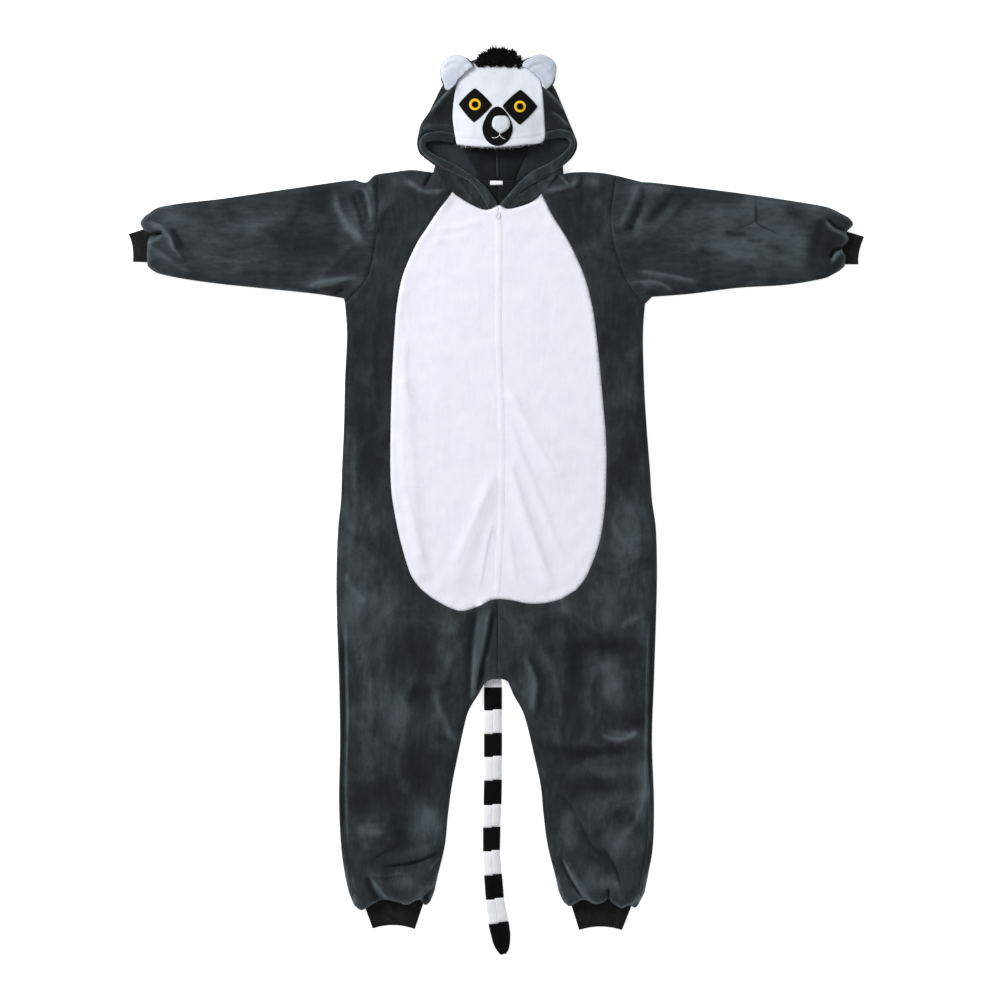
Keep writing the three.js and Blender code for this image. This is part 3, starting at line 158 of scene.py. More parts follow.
LEFT_EAR = [
    (-52, 865), (-68, 883), (-90, 889), (-111, 877), (-119, 857), (-113, 834), (-102, 820),
]
RIGHT_EAR = [
    (92, 820), (105, 834), (112, 861), (105, 879), (83, 890), (62, 884), (45, 866),
]
TUFT = [
    (-50, 866), (-46, 884), (-34, 898), (-18, 904), (-2, 908), (16, 905), (34, 898), (42, 884),
    (46, 866),
]
TAIL_BANDS = [
    (-374.6, -32, 4), (-419.6, -32, 4), (-466.6, -32, 4), (-512.6, -32, 4), (-560, -32, 4),
    (-609, -33, 3), (-654, -34, 1), (-701, -34, 0), (-749, -32, 4), (-797, -28.5, 8), (-845, -23.5, 17.5),
    (-908, -2, 16),
]
FOLDS = [
    (-262, 628, -250, 548, 13, 9),  # left sleeve by armhole
    (-300, 622, -262, 512, 16, 9),  # left sleeve second
    (-350, 424, -276, 434, 12, 8),  # left underarm
    (262, 630, 244, 560, 13, 8),  # right sleeve by armhole
    (322, 606, 266, 520, 17, 8),  # right sleeve second
    (360, 426, 268, 440, 12, 8),  # right underarm
    (-196, 634, -120, 600, 15, 9),  # left shoulder
    (192, 628, 112, 606, 15, 9),  # right shoulder
    (-34, -216, -60, -372, 10, 10),  # crotch pleat
    (-66, -300, -84, -420, 18, 6),  # crotch left
    (34, -300, 66, -420, 18, 7),  # crotch right
    (-14, 40, -84, -150, 16, 3),  # belly lower left
    (22, 60, 96, -170, 17, 3),  # belly lower right
    (30, 200, 118, 60, 18, 2.5),  # belly right
    (-192, 230, -160, -150, 15, 3),  # belly left edge
    (-232, -742, -132, -706, 14, 8),  # left shin
    (190, -528, 290, -500, 16, 7),  # right knee
    (128, -640, 190, -740, 16, 7),  # right calf
    (196, -350, 290, -300, 17, 6),  # right thigh
]
PUFFS = [
    (-672, 556, 44, 26, 14),  # left wrist upper
    (-672, 486, 44, 30, 13),  # left wrist lower
    (662, 556, 42, 22, 13),  # right wrist upper
    (658, 516, 40, 18, 13),  # right wrist middle
    (654, 476, 42, 24, 12),  # right wrist lower
    (-268, -784, 28, 44, 12),  # left ankle outer
    (-194, -770, 46, 42, 17),  # left ankle middle
    (-146, -780, 20, 40, 10),  # left ankle inner
    (144, -782, 22, 44, 11),  # right ankle inner
    (190, -772, 34, 44, 16),  # right ankle middle
    (248, -776, 34, 46, 15),  # right ankle outer
]
LEFT_SLEEVE_CREASES = [
    ([(-330, 618), (-323, 586), (-306, 552), (-285, 528), (-265, 507)], 11, 8, 14),
    ([(-296, 634), (-268, 614), (-261, 583), (-258, 548)], 9, 6, 8),
    ([(-296, 614), (-282, 580), (-268, 535)], -7, 6, 6),
    ([(-386, 428), (-344, 438), (-282, 444)], 8, 9, 5),
    ([(-368, 416), (-330, 424), (-300, 434)], 6, 5, 5),
    ([(-334, 410), (-326, 418), (-312, 424)], -5, 4, 5),
    ([(-290, 520), (-330, 476), (-364, 440)], 4, 8, 16),
    ([(-400, 572), (-480, 548), (-572, 540)], 3, 10, 22),
    ([(-420, 496), (-520, 476), (-620, 480)], 3, 10, 20),
    ([(-400, 458), (-480, 462), (-560, 452)], 3, 6, 12),
    ([(-704, 531), (-690, 531), (-674, 534)], -10, 2.5, 4),
    ([(-710, 556), (-680, 549), (-660, 528), (-648, 500), (-626, 476)], 9, 2, 12),
    ([(-702, 509), (-672, 490), (-644, 469), (-610, 452)], 7, 4, 9),
]
RIGHT_SLEEVE_CREASES = [
    ([(280, 632), (264, 588), (240, 540)], 10.2, 6, 11),
    ([(286, 600), (272, 568), (258, 530)], -3.8, 7, 10),
    ([(352, 616), (322, 578), (286, 546)], -5.2, 8, 12),
    ([(372, 604), (338, 568), (300, 530)], 4.4, 8, 16),
    ([(280, 456), (336, 448), (400, 436)], 7.25, 5, 9),
    ([(280, 432), (332, 428), (348, 416)], 5.8, 4, 7),
    ([(512, 596), (512, 552), (588, 528)], 2.9, 8, 18),
    ([(440, 500), (520, 484), (600, 492)], 2.9, 9, 18),
    ([(650, 562), (636, 520), (622, 462)], -6, 9, 14),
    ([(690, 537), (672, 545), (654, 562)], -9, 2.5, 4),
    ([(690, 529), (666, 536), (648, 556)], 7, 2, 9),
    ([(692, 505), (670, 497), (660, 480)], -9, 2.5, 4),
    ([(692, 496), (676, 489), (668, 474)], 7, 2, 9),
]
SHOULDER_CREASES = [
    ([(-184, 640), (-166, 626), (-148, 616), (-102, 619)], 10.2, 5, 9),
    ([(-130, 664), (-141, 644), (-151, 624)], -6, 3, 4),
    ([(160, 651), (154, 638), (144, 627), (85, 613)], 10.2, 5, 9),
    ([(118, 652), (128, 640), (139, 628)], 4, 3, 4),
    ([(-200, 608), (-240, 572), (-252, 528)], 4.35, 8, 16),
    ([(192, 608), (216, 572), (228, 528)], 4.35, 8, 16),
]
HOOD_CREASES = [
    ([(-128, 656), (-114, 636), (-99, 619)], 4, 3, 6),
    ([(-94, 651), (-70, 620), (-48, 589)], 4, 3, 6),
    ([(117, 660), (100, 634), (83, 613), (56, 597)], 4, 3, 6),
    ([(-141, 773), (-126, 792), (-111, 810), (-88, 832)], 8, 1.6, 11),
    ([(84, 830), (106, 807), (119, 792), (131, 775)], 7, 1.6, 9),
    ([(102, 778), (119, 767), (132, 754), (143, 742)], 6, 1.6, 8),
    ([(-155, 744), (-124, 738), (-94, 736)], 4, 2.5, 4),
    ([(94, 742), (120, 740), (144, 736)], 3, 2.5, 4),
]
LEFT_BODY_CREASES = [
    ([(-296, 160), (-288, 40), (-300, -120)], 4.35, 10, 24),
    ([(-244, 400), (-256, 280), (-248, 160)], 3.62, 8, 20),
    ([(-310, -146), (-288, -180), (-264, -212)], 7.25, 6, 12),
    ([(-276, -280), (-256, -400), (-268, -520)], 4.35, 9, 22),
    ([(-76, -280), (-120, -380), (-128, -520)], 4.35, 10, 24),
    ([(-160, -300), (-192, -440), (-184, -600)], 4.35, 12, 26),
    ([(-236, -734), (-180, -726), (-122, -705)], -7, 2.5, 6),
    ([(-240, -716), (-180, -704), (-120, -684)], 4.35, 8, 10),
    ([(-266, -746), (-228, -751), (-190, -744)], 4, 2.5, 6),
    ([(-252, -718), (-222, -700), (-198, -684)], -4, 3, 6),
    ([(-128, -762), (-149, -782), (-168, -799), (-188, -808), (-214, -804), (-236, -793), (-250, -774),
      (-260, -750)], 9, 2, 12),
    ([(-296, -748), (-288, -780), (-276, -804)], 4.35, 5, 8),
]
RIGHT_BODY_CREASES = [
    ([(280, 340), (268, 200), (284, 80)], 3.62, 8, 20),
    ([(260, 0), (276, -60), (272, -128)], 4.35, 8, 16),
    ([(238, -256), (260, -242), (280, -232)], 7.25, 6, 12),
    ([(202, -466), (222, -477), (248, -478), (280, -461)], 6, 3.5, 10),
    ([(212, -450), (250, -456), (286, -440)], -4, 4, 7),
    ([(80, -494), (176, -504), (272, -498)], -5.8, 7, 14),
    ([(112, -586), (143, -614), (182, -690), (216, -718), (242, -757)], -5, 3, 7),
    ([(218, -802), (191, -809), (169, -792), (148, -762), (124, -718)], 9, 2, 12),
    ([(298, -742), (282, -790), (259, -815), (240, -814), (221, -803)], 7, 2, 10),
    ([(248, -676), (276, -632), (292, -576)], 5.8, 6, 12),
    ([(80, -280), (120, -400), (112, -520)], 4.35, 10, 22),
    ([(200, -280), (180, -380), (188, -440)], 3.62, 9, 20),
    ([(218, -806), (217, -792), (217, -776)], -7, 3, 3),
    ([(114, -748), (124, -784), (139, -806)], 5.8, 4, 7),
    ([(144, -776), (168, -796), (194, -800)], 4.35, 5, 8),
    ([(230, -760), (240, -788), (256, -810)], 4.35, 5, 8),
]
CROTCH_CREASES = [
    ([(-56, -402), (-54, -345), (-50, -288), (-40, -208)], 7, 2.5, 10),
    ([(-16, -208), (-30, -275), (-45, -345), (-54, -404)], 7, 2.5, 8),
    ([(-52, -398), (-38, -372), (-16, -356), (14, -354), (30, -368), (42, -396)], 4.35, 4, 6),
]
BELLY_CREASES = [
    ([(-131, 540), (-80, 548), (-28, 562)], 1.4, 5, 9),
    ([(-137, 520), (-92, 524), (-51, 534)], 1.2, 5, 9),
    ([(12, 552), (64, 538), (116, 516)], 1.4, 5, 9),
    ([(-188, 334), (-188, 224), (-148, 156)], 1.6, 6, 12),
    ([(-197, 162), (-188, 18), (-142, -154)], 1.7, 6, 12),
    ([(18, 230), (60, 140), (116, 40)], 1.8, 5, 12),
    ([(18, 172), (46, 86), (127, -114)], 1.8, 5, 12),
    ([(20, 76), (52, -28), (104, -166)], 2.0, 5, 11),
    ([(18, -62), (26, -120), (35, -171)], 1.5, 4, 9),
    ([(-16, 40), (-51, -40), (-96, -142)], 1.8, 5, 12),
    ([(-16, -45), (-30, -112), (-40, -177)], 1.5, 3, 9),
    ([(-8, -56), (-4, -90), (-2, -125)], -3, 2, 3),
]
BACK_CREASES = [
    ([(-180, 560), (-120, 520), (-90, 460)], 2.2, 7, 14),
    ([(150, 590), (110, 530), (96, 450)], 2.4, 7, 15),
    ([(-240, 380), (-190, 300), (-200, 200)], 1.8, 8, 18),
    ([(210, 360), (190, 250), (216, 140)], 2.0, 8, 16),
    ([(-60, 330), (-110, 220), (-96, 120)], 1.6, 9, 20),
    ([(60, 280), (84, 180), (60, 60)], 1.8, 8, 18),
    ([(-250, 60), (-170, 0), (-80, -30)], 2.4, 7, 15),
    ([(230, 30), (150, -30), (60, -60)], 2.2, 7, 14),
    ([(-210, -120), (-120, -170), (-60, -250)], 2.6, 7, 15),
    ([(200, -110), (120, -170), (56, -240)], 2.6, 7, 14),
    ([(-260, -330), (-200, -390), (-190, -480)], 2.0, 8, 16),
    ([(250, -340), (190, -400), (176, -500)], 2.2, 8, 17),
    ([(-240, -560), (-180, -620), (-200, -700)], 1.8, 8, 16),
    ([(230, -580), (170, -650), (190, -720)], 2.0, 8, 15),
    ([(-330, 560), (-430, 540), (-520, 550)], 1.8, 8, 16),
    ([(330, 540), (420, 520), (530, 530)], 1.8, 8, 15),
    ([(-400, 470), (-500, 480), (-600, 500)], 1.5, 9, 18),
    ([(380, 470), (490, 460), (590, 490)], 1.6, 9, 17),
    ([(-60, 700), (-90, 760), (-70, 820)], 1.6, 6, 12),
    ([(60, 690), (84, 750), (70, 810)], 1.6, 6, 12),
]

# Patches of lighter pile, darker below 0: partly the pile's own clouds, partly painted light and
# painted shade on the folds. Middle, reach along x and y, strength.
BRUSHED_AND_PAINTED_LIGHT = [
    # left sleeve
    (-650, 556, 36, 28, 0.5), (-580, 520, 100, 28, 0.45), (-500, 552, 60, 20, 0.25),
    (-420, 510, 52, 40, -0.35), (-356, 596, 40, 24, -0.3), (-288, 556, 28, 56, 0.35),
    (-336, 432, 68, 10, 0.3), (-680, 484, 28, 20, 0.3), (-476, 476, 80, 16, 0.2),
    # right sleeve
    (400, 570, 80, 26, 0.45), (490, 510, 110, 36, 0.4), (584, 524, 48, 40, 0.5),
    (550, 592, 80, 16, 0.4), (656, 520, 20, 36, -0.6), (310, 624, 36, 14, 0.5),
    (280, 576, 20, 52, 0.45), (352, 592, 18, 36, -0.4), (470, 540, 190, 80, 0.22),
    # hood
    (-122, 782, 34, 44, -0.6), (112, 778, 30, 46, -0.6), (-112, 700, 50, 36, -0.35),
    (104, 700, 46, 36, -0.35),
    # shoulders
    (-184, 636, 48, 14, 0.4), (172, 636, 48, 14, 0.4), (-210, 570, 28, 32, -0.2),
    (200, 570, 28, 36, -0.2),
    # torso
    (-256, 340, 28, 80, -0.25), (-264, 140, 28, 110, -0.3), (-284, -40, 32, 80, 0.4),
    (-300, -200, 20, 92, 0.45), (-232, 484, 24, 52, 0.2), (256, 400, 24, 88, -0.2),
    (260, 80, 24, 68, -0.35), (248, -80, 36, 72, 0.4), (224, 220, 20, 80, 0.1),
    # left leg
    (-200, -224, 56, 32, 0.2), (-264, -192, 36, 60, 0.3), (-164, -310, 40, 40, -0.3),
    (-250, -290, 40, 50, 0.35),
    (-104, -290, 24, 60, 0.3), (-258, -420, 44, 50, 0.4), (-166, -388, 24, 18, -0.7),
    (-196, -430, 30, 40, 0.35),
    (-256, -524, 24, 36, 0.25), (-168, -548, 34, 44, -0.6), (-230, -590, 40, 30, -0.35),
    (-149, -650, 26, 40, 0.8), (-258, -662, 26, 22, 0.7), (-206, -660, 16, 36, -0.5),
    (-200, -770, 46, 20, 0.45),
    (-120, -664, 16, 40, 0.2), (-230, -280, 32, 36, -0.2), (-140, -790, 14, 18, -0.6),
    # right leg
    (40, -250, 40, 40, 0.3), (196, -200, 48, 52, 0.35), (120, -296, 16, 80, 0.35),
    (150, -330, 18, 60, -0.5),
    (200, -292, 70, 14, -0.7), (284, -240, 14, 52, 0.4), (222, -368, 26, 56, 0.65),
    (262, -440, 26, 12, -0.6),
    (250, -468, 40, 12, 0.5), (180, -502, 88, 10, -0.5), (206, -540, 50, 14, 0.5),
    (196, -572, 50, 14, -0.5), (200, -620, 36, 40, 0.45), (236, -680, 30, 30, 0.5),
    (284, -580, 14, 72, 0.5), (136, -660, 20, 68, 0.45), (240, -692, 36, 32, 0.4),
    (200, -764, 56, 22, 0.45), (60, -380, 18, 52, 0.4),
    # crotch
    (-30, -280, 10, 92, 0.45), (-48, -380, 12, 28, 0.4),
]

# Thin lines of painted highlight along a turned edge, and of painted shade beside it.
PAINTED_LIGHT_LINES = [
    ([(-141, 773), (-126, 792), (-111, 810), (-90, 832)], 1.1, 1.6, 4),
    ([(86, 829), (106, 807), (119, 792), (129, 777)], 1.0, 1.6, 4),
    ([(104, 777), (119, 767), (132, 754), (141, 744)], 0.9, 1.6, 4),
    ([(-158, 746), (-140, 750), (-96, 750)], 0.5, 2, 5),
    ([(-28, -206), (-41, -290), (-50, -345), (-55, -400)], 0.8, 7, 7),
    ([(-50, -222), (-60, -290), (-63, -350), (-62, -396)], -0.9, 4, 6),
    ([(-8, -210), (-22, -270), (-38, -345), (-50, -396)], -0.9, 5, 4),
    ([(-309, -240), (-305, -362), (-304, -440), (-307, -560), (-305, -700)], 0.8, 2, 5),
    ([(-317, -240), (-315, -362), (-314, -440), (-317, -560), (-315, -700)], -0.8, 4, 4),
    ([(296, -245), (292, -400), (290, -484), (291, -549), (296, -614)], 0.9, 5, 2),
    ([(303, -245), (300, -400), (299, -484), (299, -549), (304, -614)], -0.9, 4, 4),
    ([(48, -310), (68, -362), (64, -424)], 0.7, 4, 8),
    ([(60, -310), (80, -362), (78, -424)], -0.5, 6, 5),
    ([(-136, -375), (-116, -430), (-97, -484)], 0.6, 8, 8),
    ([(-260, -752), (-244, -773), (-227, -793), (-207, -805), (-190, -809), (-174, -807), (-159, -796),
      (-141, -778), (-126, -764)], 0.8, 1.6, 3),
    ([(-119, -713), (-130, -726), (-141, -741)], 0.6, 1.5, 3),
    ([(-266, -752), (-258, -778), (-244, -796)], -0.8, 3, 5),
    ([(126, -716), (148, -758), (170, -790), (192, -808)], 0.7, 1.6, 4),
    ([(118, -712), (141, -760), (163, -793)], -1.0, 2.2, 2.6),
    ([(217, -774), (217, -800)], -0.9, 1.5, 1.5),
    ([(287, -784), (271, -801), (256, -812), (243, -817)], 0.9, 1.6, 3),
    ([(293, -790), (280, -806), (266, -816)], -0.8, 2.5, 2.5),
    ([(205, -694), (213, -706), (225, -724), (235, -747), (242, -772)], -0.6, 2, 4),
    ([(204, -466), (222, -476), (248, -477), (278, -462)], 0.45, 3.5, 4),
    ([(512, 600), (512, 562), (520, 548), (562, 531)], -0.65, 1.8, 1.8),
    ([(512, 562), (500, 552), (480, 546)], -0.4, 1.8, 1.8),
    ([(448, 536), (470, 532), (494, 533)], -0.6, 4, 5), ([(492, 522), (510, 518), (530, 521)], -0.5, 4, 4),
    ([(396, 499), (420, 492), (452, 496)], -0.5, 6, 5), ([(530, 509), (562, 504)], -0.35, 6, 6),
    ([(-706, 531), (-690, 532), (-676, 536)], -1.5, 2.5, 2.5),
    ([(-700, 545), (-676, 546), (-660, 530), (-650, 505)], 0.7, 3, 6),
    ([(-658, 545), (-644, 525), (-634, 500)], -0.9, 4, 6),
    ([(-705, 514), (-690, 520), (-676, 530)], 0.8, 3, 4),
    ([(694, 520), (684, 532), (668, 540), (650, 558)], 0.8, 3, 5),
    ([(690, 538), (672, 547), (656, 562)], -1.0, 2.5, 2.5),
    ([(694, 502), (680, 496), (668, 486), (662, 468)], 0.8, 3, 5),
    ([(690, 505), (668, 499), (658, 482)], -1.0, 2.5, 2.5),
    ([(-700, 442), (-600, 430), (-480, 424), (-370, 416)], 0.5, 3, 4),
    ([(-390, 424), (-350, 434), (-300, 442)], 0.5, 4, 5),
    ([(-380, 414), (-336, 424), (-300, 436)], -0.9, 4, 4),
    ([(268, 458), (300, 457), (350, 448), (402, 436)], 0.45, 2, 5),
    ([(252, 432), (280, 438), (316, 436), (346, 420)], 0.55, 2, 5),
    ([(294, 414), (303, 416), (318, 411)], -0.8, 4, 4), ([(118, 650), (128, 640), (138, 630)], 0.7, 2, 3),
    ([(-262, 640), (-256, 604), (-254, 560)], 0.8, 4, 7),
    ([(-282, 626), (-272, 590), (-264, 556)], -0.7, 6, 6),
    ([(-322, 606), (-314, 576), (-296, 548), (-272, 520)], 0.4, 6, 10),
]

CUFFS = {
    "wrist_left": [(-690, 549), (-743, 532), (-735, 507), (-734, 476), (-690, 475)],
    "wrist_right": [(674, 471), (717, 471), (718, 495), (728, 527), (674, 543)],
    "ankle_left": [(-278, -792), (-255, -857), (-213, -850), (-170, -858), (-148, -792)],
    "ankle_right": [(137, -792), (158, -860), (201, -853), (244, -860), (271, -792)],
}


# Plan lines and outlines

def smooth_line(points, step):
    """A smooth line through points, with a point about every step millimetres."""
    p = np.array(points, float)
    last = len(p) - 1
    rows = []
    for i in range(last):
        before, a, b, after = p[max(i - 1, 0)], p[i], p[i + 1], p[min(i + 2, last)]
        leave, arrive = (b - before) / 2, (after - a) / 2
        cube = 2 * a - 2 * b + leave + arrive
        square = -3 * a + 3 * b - 2 * leave - arrive
        for t in np.arange(16) / 16:
            rows.append(cube * t**3 + square * t**2 + leave * t + a)
    rows.append(p[-1])
    rows = np.array(rows)
    along = np.concatenate([[0], np.cumsum(np.hypot(*np.diff(rows, axis=0).T))])
    at = np.linspace(0, along[-1], max(1, round(along[-1] / step)) + 1)
    return np.column_stack([np.interp(at, along, rows[:, k]) for k in (0, 1)])


def column(rows, side):
    """The left or the right line of a table whose rows are y, left, right."""
    return [(row[side], row[0]) for row in rows]


def sleeve_edge(rows, edge):
    """The upper or lower edge of a sleeve whose rows are x, top, bottom."""
    return [(row[0], row[edge]) for row in rows]


def joined(*lines, nearest=1.5):
    """Lines one after another as one closed outline, without points that crowd together."""
    points = np.vstack(lines).astype(float)
    kept = [points[0]]
    for point in points[1:]:
        if np.hypot(*(point - kept[-1])) > nearest:
            kept.append(point)
    if np.hypot(*(kept[-1] - kept[0])) < nearest:
        kept.pop()
    outline = np.array(kept)
    x, y = outline.T
    area = np.sum(x * np.roll(y, -1) - np.roll(x, -1) * y)
    return outline if area > 0 else outline[::-1]


def to_line(points, line, closed=False):
    """How far each point is from a line, and how far along it (0 to 1) its nearest place is."""
    corners = np.vstack([line, line[:1]]) if closed else np.asarray(line, float)
    ends = [corners[:1]]
    for a, b in zip(corners[:-1], corners[1:]):
        parts = max(1, math.ceil(math.dist(a, b) / 4))
        ends.append(a + (b - a) * (np.arange(1, parts + 1) / parts)[:, None])
    ends = np.vstack(ends)
    steps = np.diff(ends, axis=0)
    lengths = np.maximum(np.hypot(*steps.T), 1e-9)
    start = np.concatenate([[0], np.cumsum(lengths)])
    tree = KDTree(len(ends))
    for i, (x, y) in enumerate(ends):
        tree.insert((x, y, 0), i)
    tree.balance()
    found = np.array([tree.find((x, y, 0))[1] for x, y in points])
    nearest = np.full(len(points), 1e9)
    along = np.zeros(len(points))
    for shift in (-2, -1, 0, 1):
        i = (found + shift) % len(steps) if closed else np.clip(found + shift, 0, len(steps) - 1)
        t = np.clip(np.sum((points - ends[i]) * steps[i], axis=1) / lengths[i] ** 2, 0, 1)
        away = np.hypot(*(points - ends[i] - steps[i] * t[:, None]).T)
        closer = away < nearest
        nearest[closer] = away[closer]
        along[closer] = ((start[i] + t * lengths[i]) / start[-1])[closer]
    return nearest, along


def inside(points, outline):
    """Which points lie inside an outline."""
    within = np.zeros(len(points), bool)
    x, y = points.T
    for a, b in zip(outline, np.roll(outline, -1, axis=0)):
        if a[1] != b[1]:
            crosses = (a[1] > y) != (b[1] > y)
            within ^= crosses & (x < (b[0] - a[0]) * (y - a[1]) / (b[1] - a[1]) + a[0])
    return within


def inset(outline, distance):
    """An outline moved inwards, or outwards where the distance is negative."""
    far = distance(outline) if callable(distance) else np.full(len(outline), float(distance))
    chord = np.roll(outline, -1, axis=0) - np.roll(outline, 1, axis=0)
    chord /= np.maximum(np.hypot(*chord.T), 1e-9)[:, None]
    moved = outline + np.column_stack([-chord[:, 1], chord[:, 0]]) * far[:, None]
    away, _ = to_line(moved, outline, closed=True)
    return moved[away > 0.86 * np.abs(far) - 1e-6]


def near_box(points, line, margin):
    """Which points lie in the upright box round a line, a margin wider on every side."""
    return np.all((points > line.min(axis=0) - margin) & (points < line.max(axis=0) + margin), axis=1)


def clear_of(points, lines, distance):
    """The points that are further than a distance from every line."""
    for line in lines:
        near = near_box(points, line, distance)
        if near.any():
            away = np.full(len(points), 1e9)
            away[near], _ = to_line(points[near], line)
            points = points[away > distance]
    return points


def lattice(outline, spacing, margin):
    """Points in a triangular grid inside an outline, off its edge."""
    low, high = outline.min(axis=0), outline.max(axis=0)
    rows = []
    for row, y in enumerate(np.arange(low[1], high[1], spacing * 0.866)):
        x = np.arange(low[0] + (row % 2) * spacing / 2, high[0], spacing)
        rows.append(np.column_stack([x + 0.1 * np.sin(1.7 * x + y), y + 0.1 * np.cos(x + 1.3 * y)]))
    points = np.vstack(rows)
    points = points[inside(points, outline)]
    if margin > 0:
        away, _ = to_line(points, outline, closed=True)
        points = points[away > margin]
    return points


def smoothstep(start, end, value):
    t = np.clip((value - start) / (end - start), 0, 1)
    return t * t * (3 - 2 * t)


def bell(distance, width):
    return np.exp(-((distance / width) ** 2))


def from_middle(points, x, y, reach_x, reach_y):
    """How far points are from a middle, as a share of its reach along x and y."""
    return np.hypot((points[:, 0] - x) / reach_x, (points[:, 1] - y) / reach_y)


def drift(points, size, seed):
    """Smooth uneven hills from -1 to 1, about size millimetres apart."""
    chance = np.random.default_rng(seed)
    total = np.zeros(len(points))
    for turn in range(7):
        angle = chance.uniform(0, math.tau)
        wave = size * chance.uniform(0.7, 1.7)
        along = points @ (math.cos(angle), math.sin(angle))
        total += np.sin(math.tau * along / wave + chance.uniform(0, math.tau))
    return total / 4


HOOD_LEFT_DOWN = [(CENTRE, HOOD_TOP), *column(HOOD_SIDES, 1)[::-1]]
HOOD_RIGHT_UP = [*column(HOOD_SIDES, 2), (CENTRE, HOOD_TOP)]
GARMENT = joined(
    smooth_line(HOOD_LEFT_DOWN, 5),
    smooth_line(LEFT_SHOULDER[::-1], 5),
    smooth_line(sleeve_edge(LEFT_SLEEVE, 1)[::-1], 6),
    smooth_line(LEFT_WRIST_LOBES, 3.5),
    smooth_line(sleeve_edge(LEFT_SLEEVE, 2), 6),
    smooth_line(column(BODY_SIDES, 1), 6),
    smooth_line(LEFT_LEG_HEM, 3.5),
    smooth_line(column(INNER_LEGS, 1)[::-1], 6),
    smooth_line(column(INNER_LEGS, 2), 6),
    smooth_line(RIGHT_LEG_HEM[::-1], 3.5),
    smooth_line(column(BODY_SIDES, 2)[::-1], 6),
    smooth_line(sleeve_edge(RIGHT_SLEEVE, 2)[::-1], 6),
    smooth_line(RIGHT_WRIST_LOBES[::-1], 3.5),
    smooth_line(sleeve_edge(RIGHT_SLEEVE, 1), 6),
    smooth_line(RIGHT_SHOULDER, 5),
    smooth_line(HOOD_RIGHT_UP, 5),
)


# Seams, as lines on the laid-out front

ARMHOLE_LINES = [smooth_line(column(ARMHOLES, side), 4) for side in (1, 2)]
NECK_LINE = smooth_line(FRONT_NECK, 4)
BELLY = joined(
    smooth_line(column(BELLY_SIDES, 1), 5),
    smooth_line(BELLY_HEM, 5),
    smooth_line(column(BELLY_SIDES, 2)[::-1], 5),
)
LEFT_BAND = joined(smooth_line(LEFT_BAND_OUTER, 4), smooth_line(LEFT_BAND_INNER, 4)[::-1])
RIGHT_BAND = joined(smooth_line(RIGHT_BAND_OUTER, 4), smooth_line(RIGHT_BAND_INNER, 4)[::-1])
OPENING = joined(
    smooth_line(LEFT_BAND_OUTER, 4),
    [(-28, 580), (14, 580)],
    smooth_line(RIGHT_BAND_OUTER, 4)[::-1],
)
FACE_EDGE = joined(smooth_line([*FACE, FACE[0]], 5))


def seam_inset(points):
    """How far the side seam runs inside the outline. At the ankles the front takes the whole edge."""
    x, y = points.T
    outer = (x < -200) | (x > 190)
    leg = LEG_SEAM_INSET - SIDE_SEAM_INSET
    distance = np.where(outer, SIDE_SEAM_INSET + leg * smoothstep(-250, -290, y), SIDE_SEAM_INSET)
    return np.where(y < -787, -8.0, distance)


FRONT_EDGE = joined(inset(GARMENT, seam_inset))
CENTRE_LINE = np.array([(CENTRE, y) for y in np.arange(-356, -204, 4)], float)
HOOD_CENTRE_LINE = np.array([(CENTRE, y) for y in np.arange(700, 889, 5)], float)
PLACKET_MIDDLE = smooth_line(PLACKET_LINE, 5)


# Height of the cloth

CREASES = [
    *LEFT_SLEEVE_CREASES, *RIGHT_SLEEVE_CREASES, *SHOULDER_CREASES, *HOOD_CREASES,
    *LEFT_BODY_CREASES, *RIGHT_BODY_CREASES, *CROTCH_CREASES, *BELLY_CREASES,
]


def crease(points, path, height, steep, gentle):
    """A soft ridge, or a trough where the height is negative, steeper on the left of its path and
    running out at both ends."""
    line = smooth_line(path, 6)
    near = near_box(points, line, 3 * gentle)
    raised = np.zeros(len(points))
    if not near.any():
        return raised
    spot = points[near]
    away, along = to_line(spot, line)
    index = np.clip((along * (len(line) - 1)).astype(int), 0, len(line) - 2)
    step = line[index + 1] - line[index]
    off = spot - line[index]
    side = step[:, 0] * off[:, 1] - step[:, 1] * off[:, 0]
    width = np.where(side > 0, steep, gentle)
    ends = smoothstep(0, 0.22, along + 0.04) * smoothstep(0, 0.22, 1.04 - along)
    raised[near] = height * ends * np.exp(-((away / width) ** 2))
    return raised


def lift(points):
    """How far the body is lifted off the floor over the sewn end of the tail."""
    x, y = points.T
    across = 1 - smoothstep(22, 58, np.abs(x + 14))
    return 8.5 * across * (1 - smoothstep(-335, -300, y)) * smoothstep(-410, -362, y)


def hood_air(points):
    """Air under the hood's crown and in its neck."""
    x, y = points.T
    crown = smoothstep(MOUTH_Y - 45, MOUTH_Y + 4, y) * (1 - 0.72 * smoothstep(MOUTH_Y + 30, HOOD_TOP, y))
    neck = smoothstep(585, 640, y) * (1 - smoothstep(690, 725, y))
    return HOOD_RISE * crown * bell(x - CENTRE, 100) + 5 * neck * (1 - smoothstep(110, 170, np.abs(x)))


def air(points, rim):
    """Air between the two layers of cloth, with the folds in the upper one."""
    value = LAID_GAP + EDGE_PUFF * bell(rim, EDGE_PUFF_WIDTH) + hood_air(points)
    for x1, y1, x2, y2, width, height in FOLDS:
        away, _ = to_line(points, np.array([(x1, y1), (x2, y2)], float))
        value += 0.9 * height * bell(away, width)
    for x, y, reach_x, reach_y, height in PUFFS:
        value += height * bell(from_middle(points, x, y, reach_x, reach_y), 1)
    for path, height, steep, gentle in CREASES:
        value += crease(points, path, height, steep, gentle)
    belly = 1 - smoothstep(0.85, 1.1, from_middle(points, CENTRE, 190, 215, 410))
    value += (1 - 0.7 * belly) * (1.3 * drift(points, 120, 3) + 0.7 * drift(points, 46, 5))
    return np.maximum(value, LEAST_AIR)


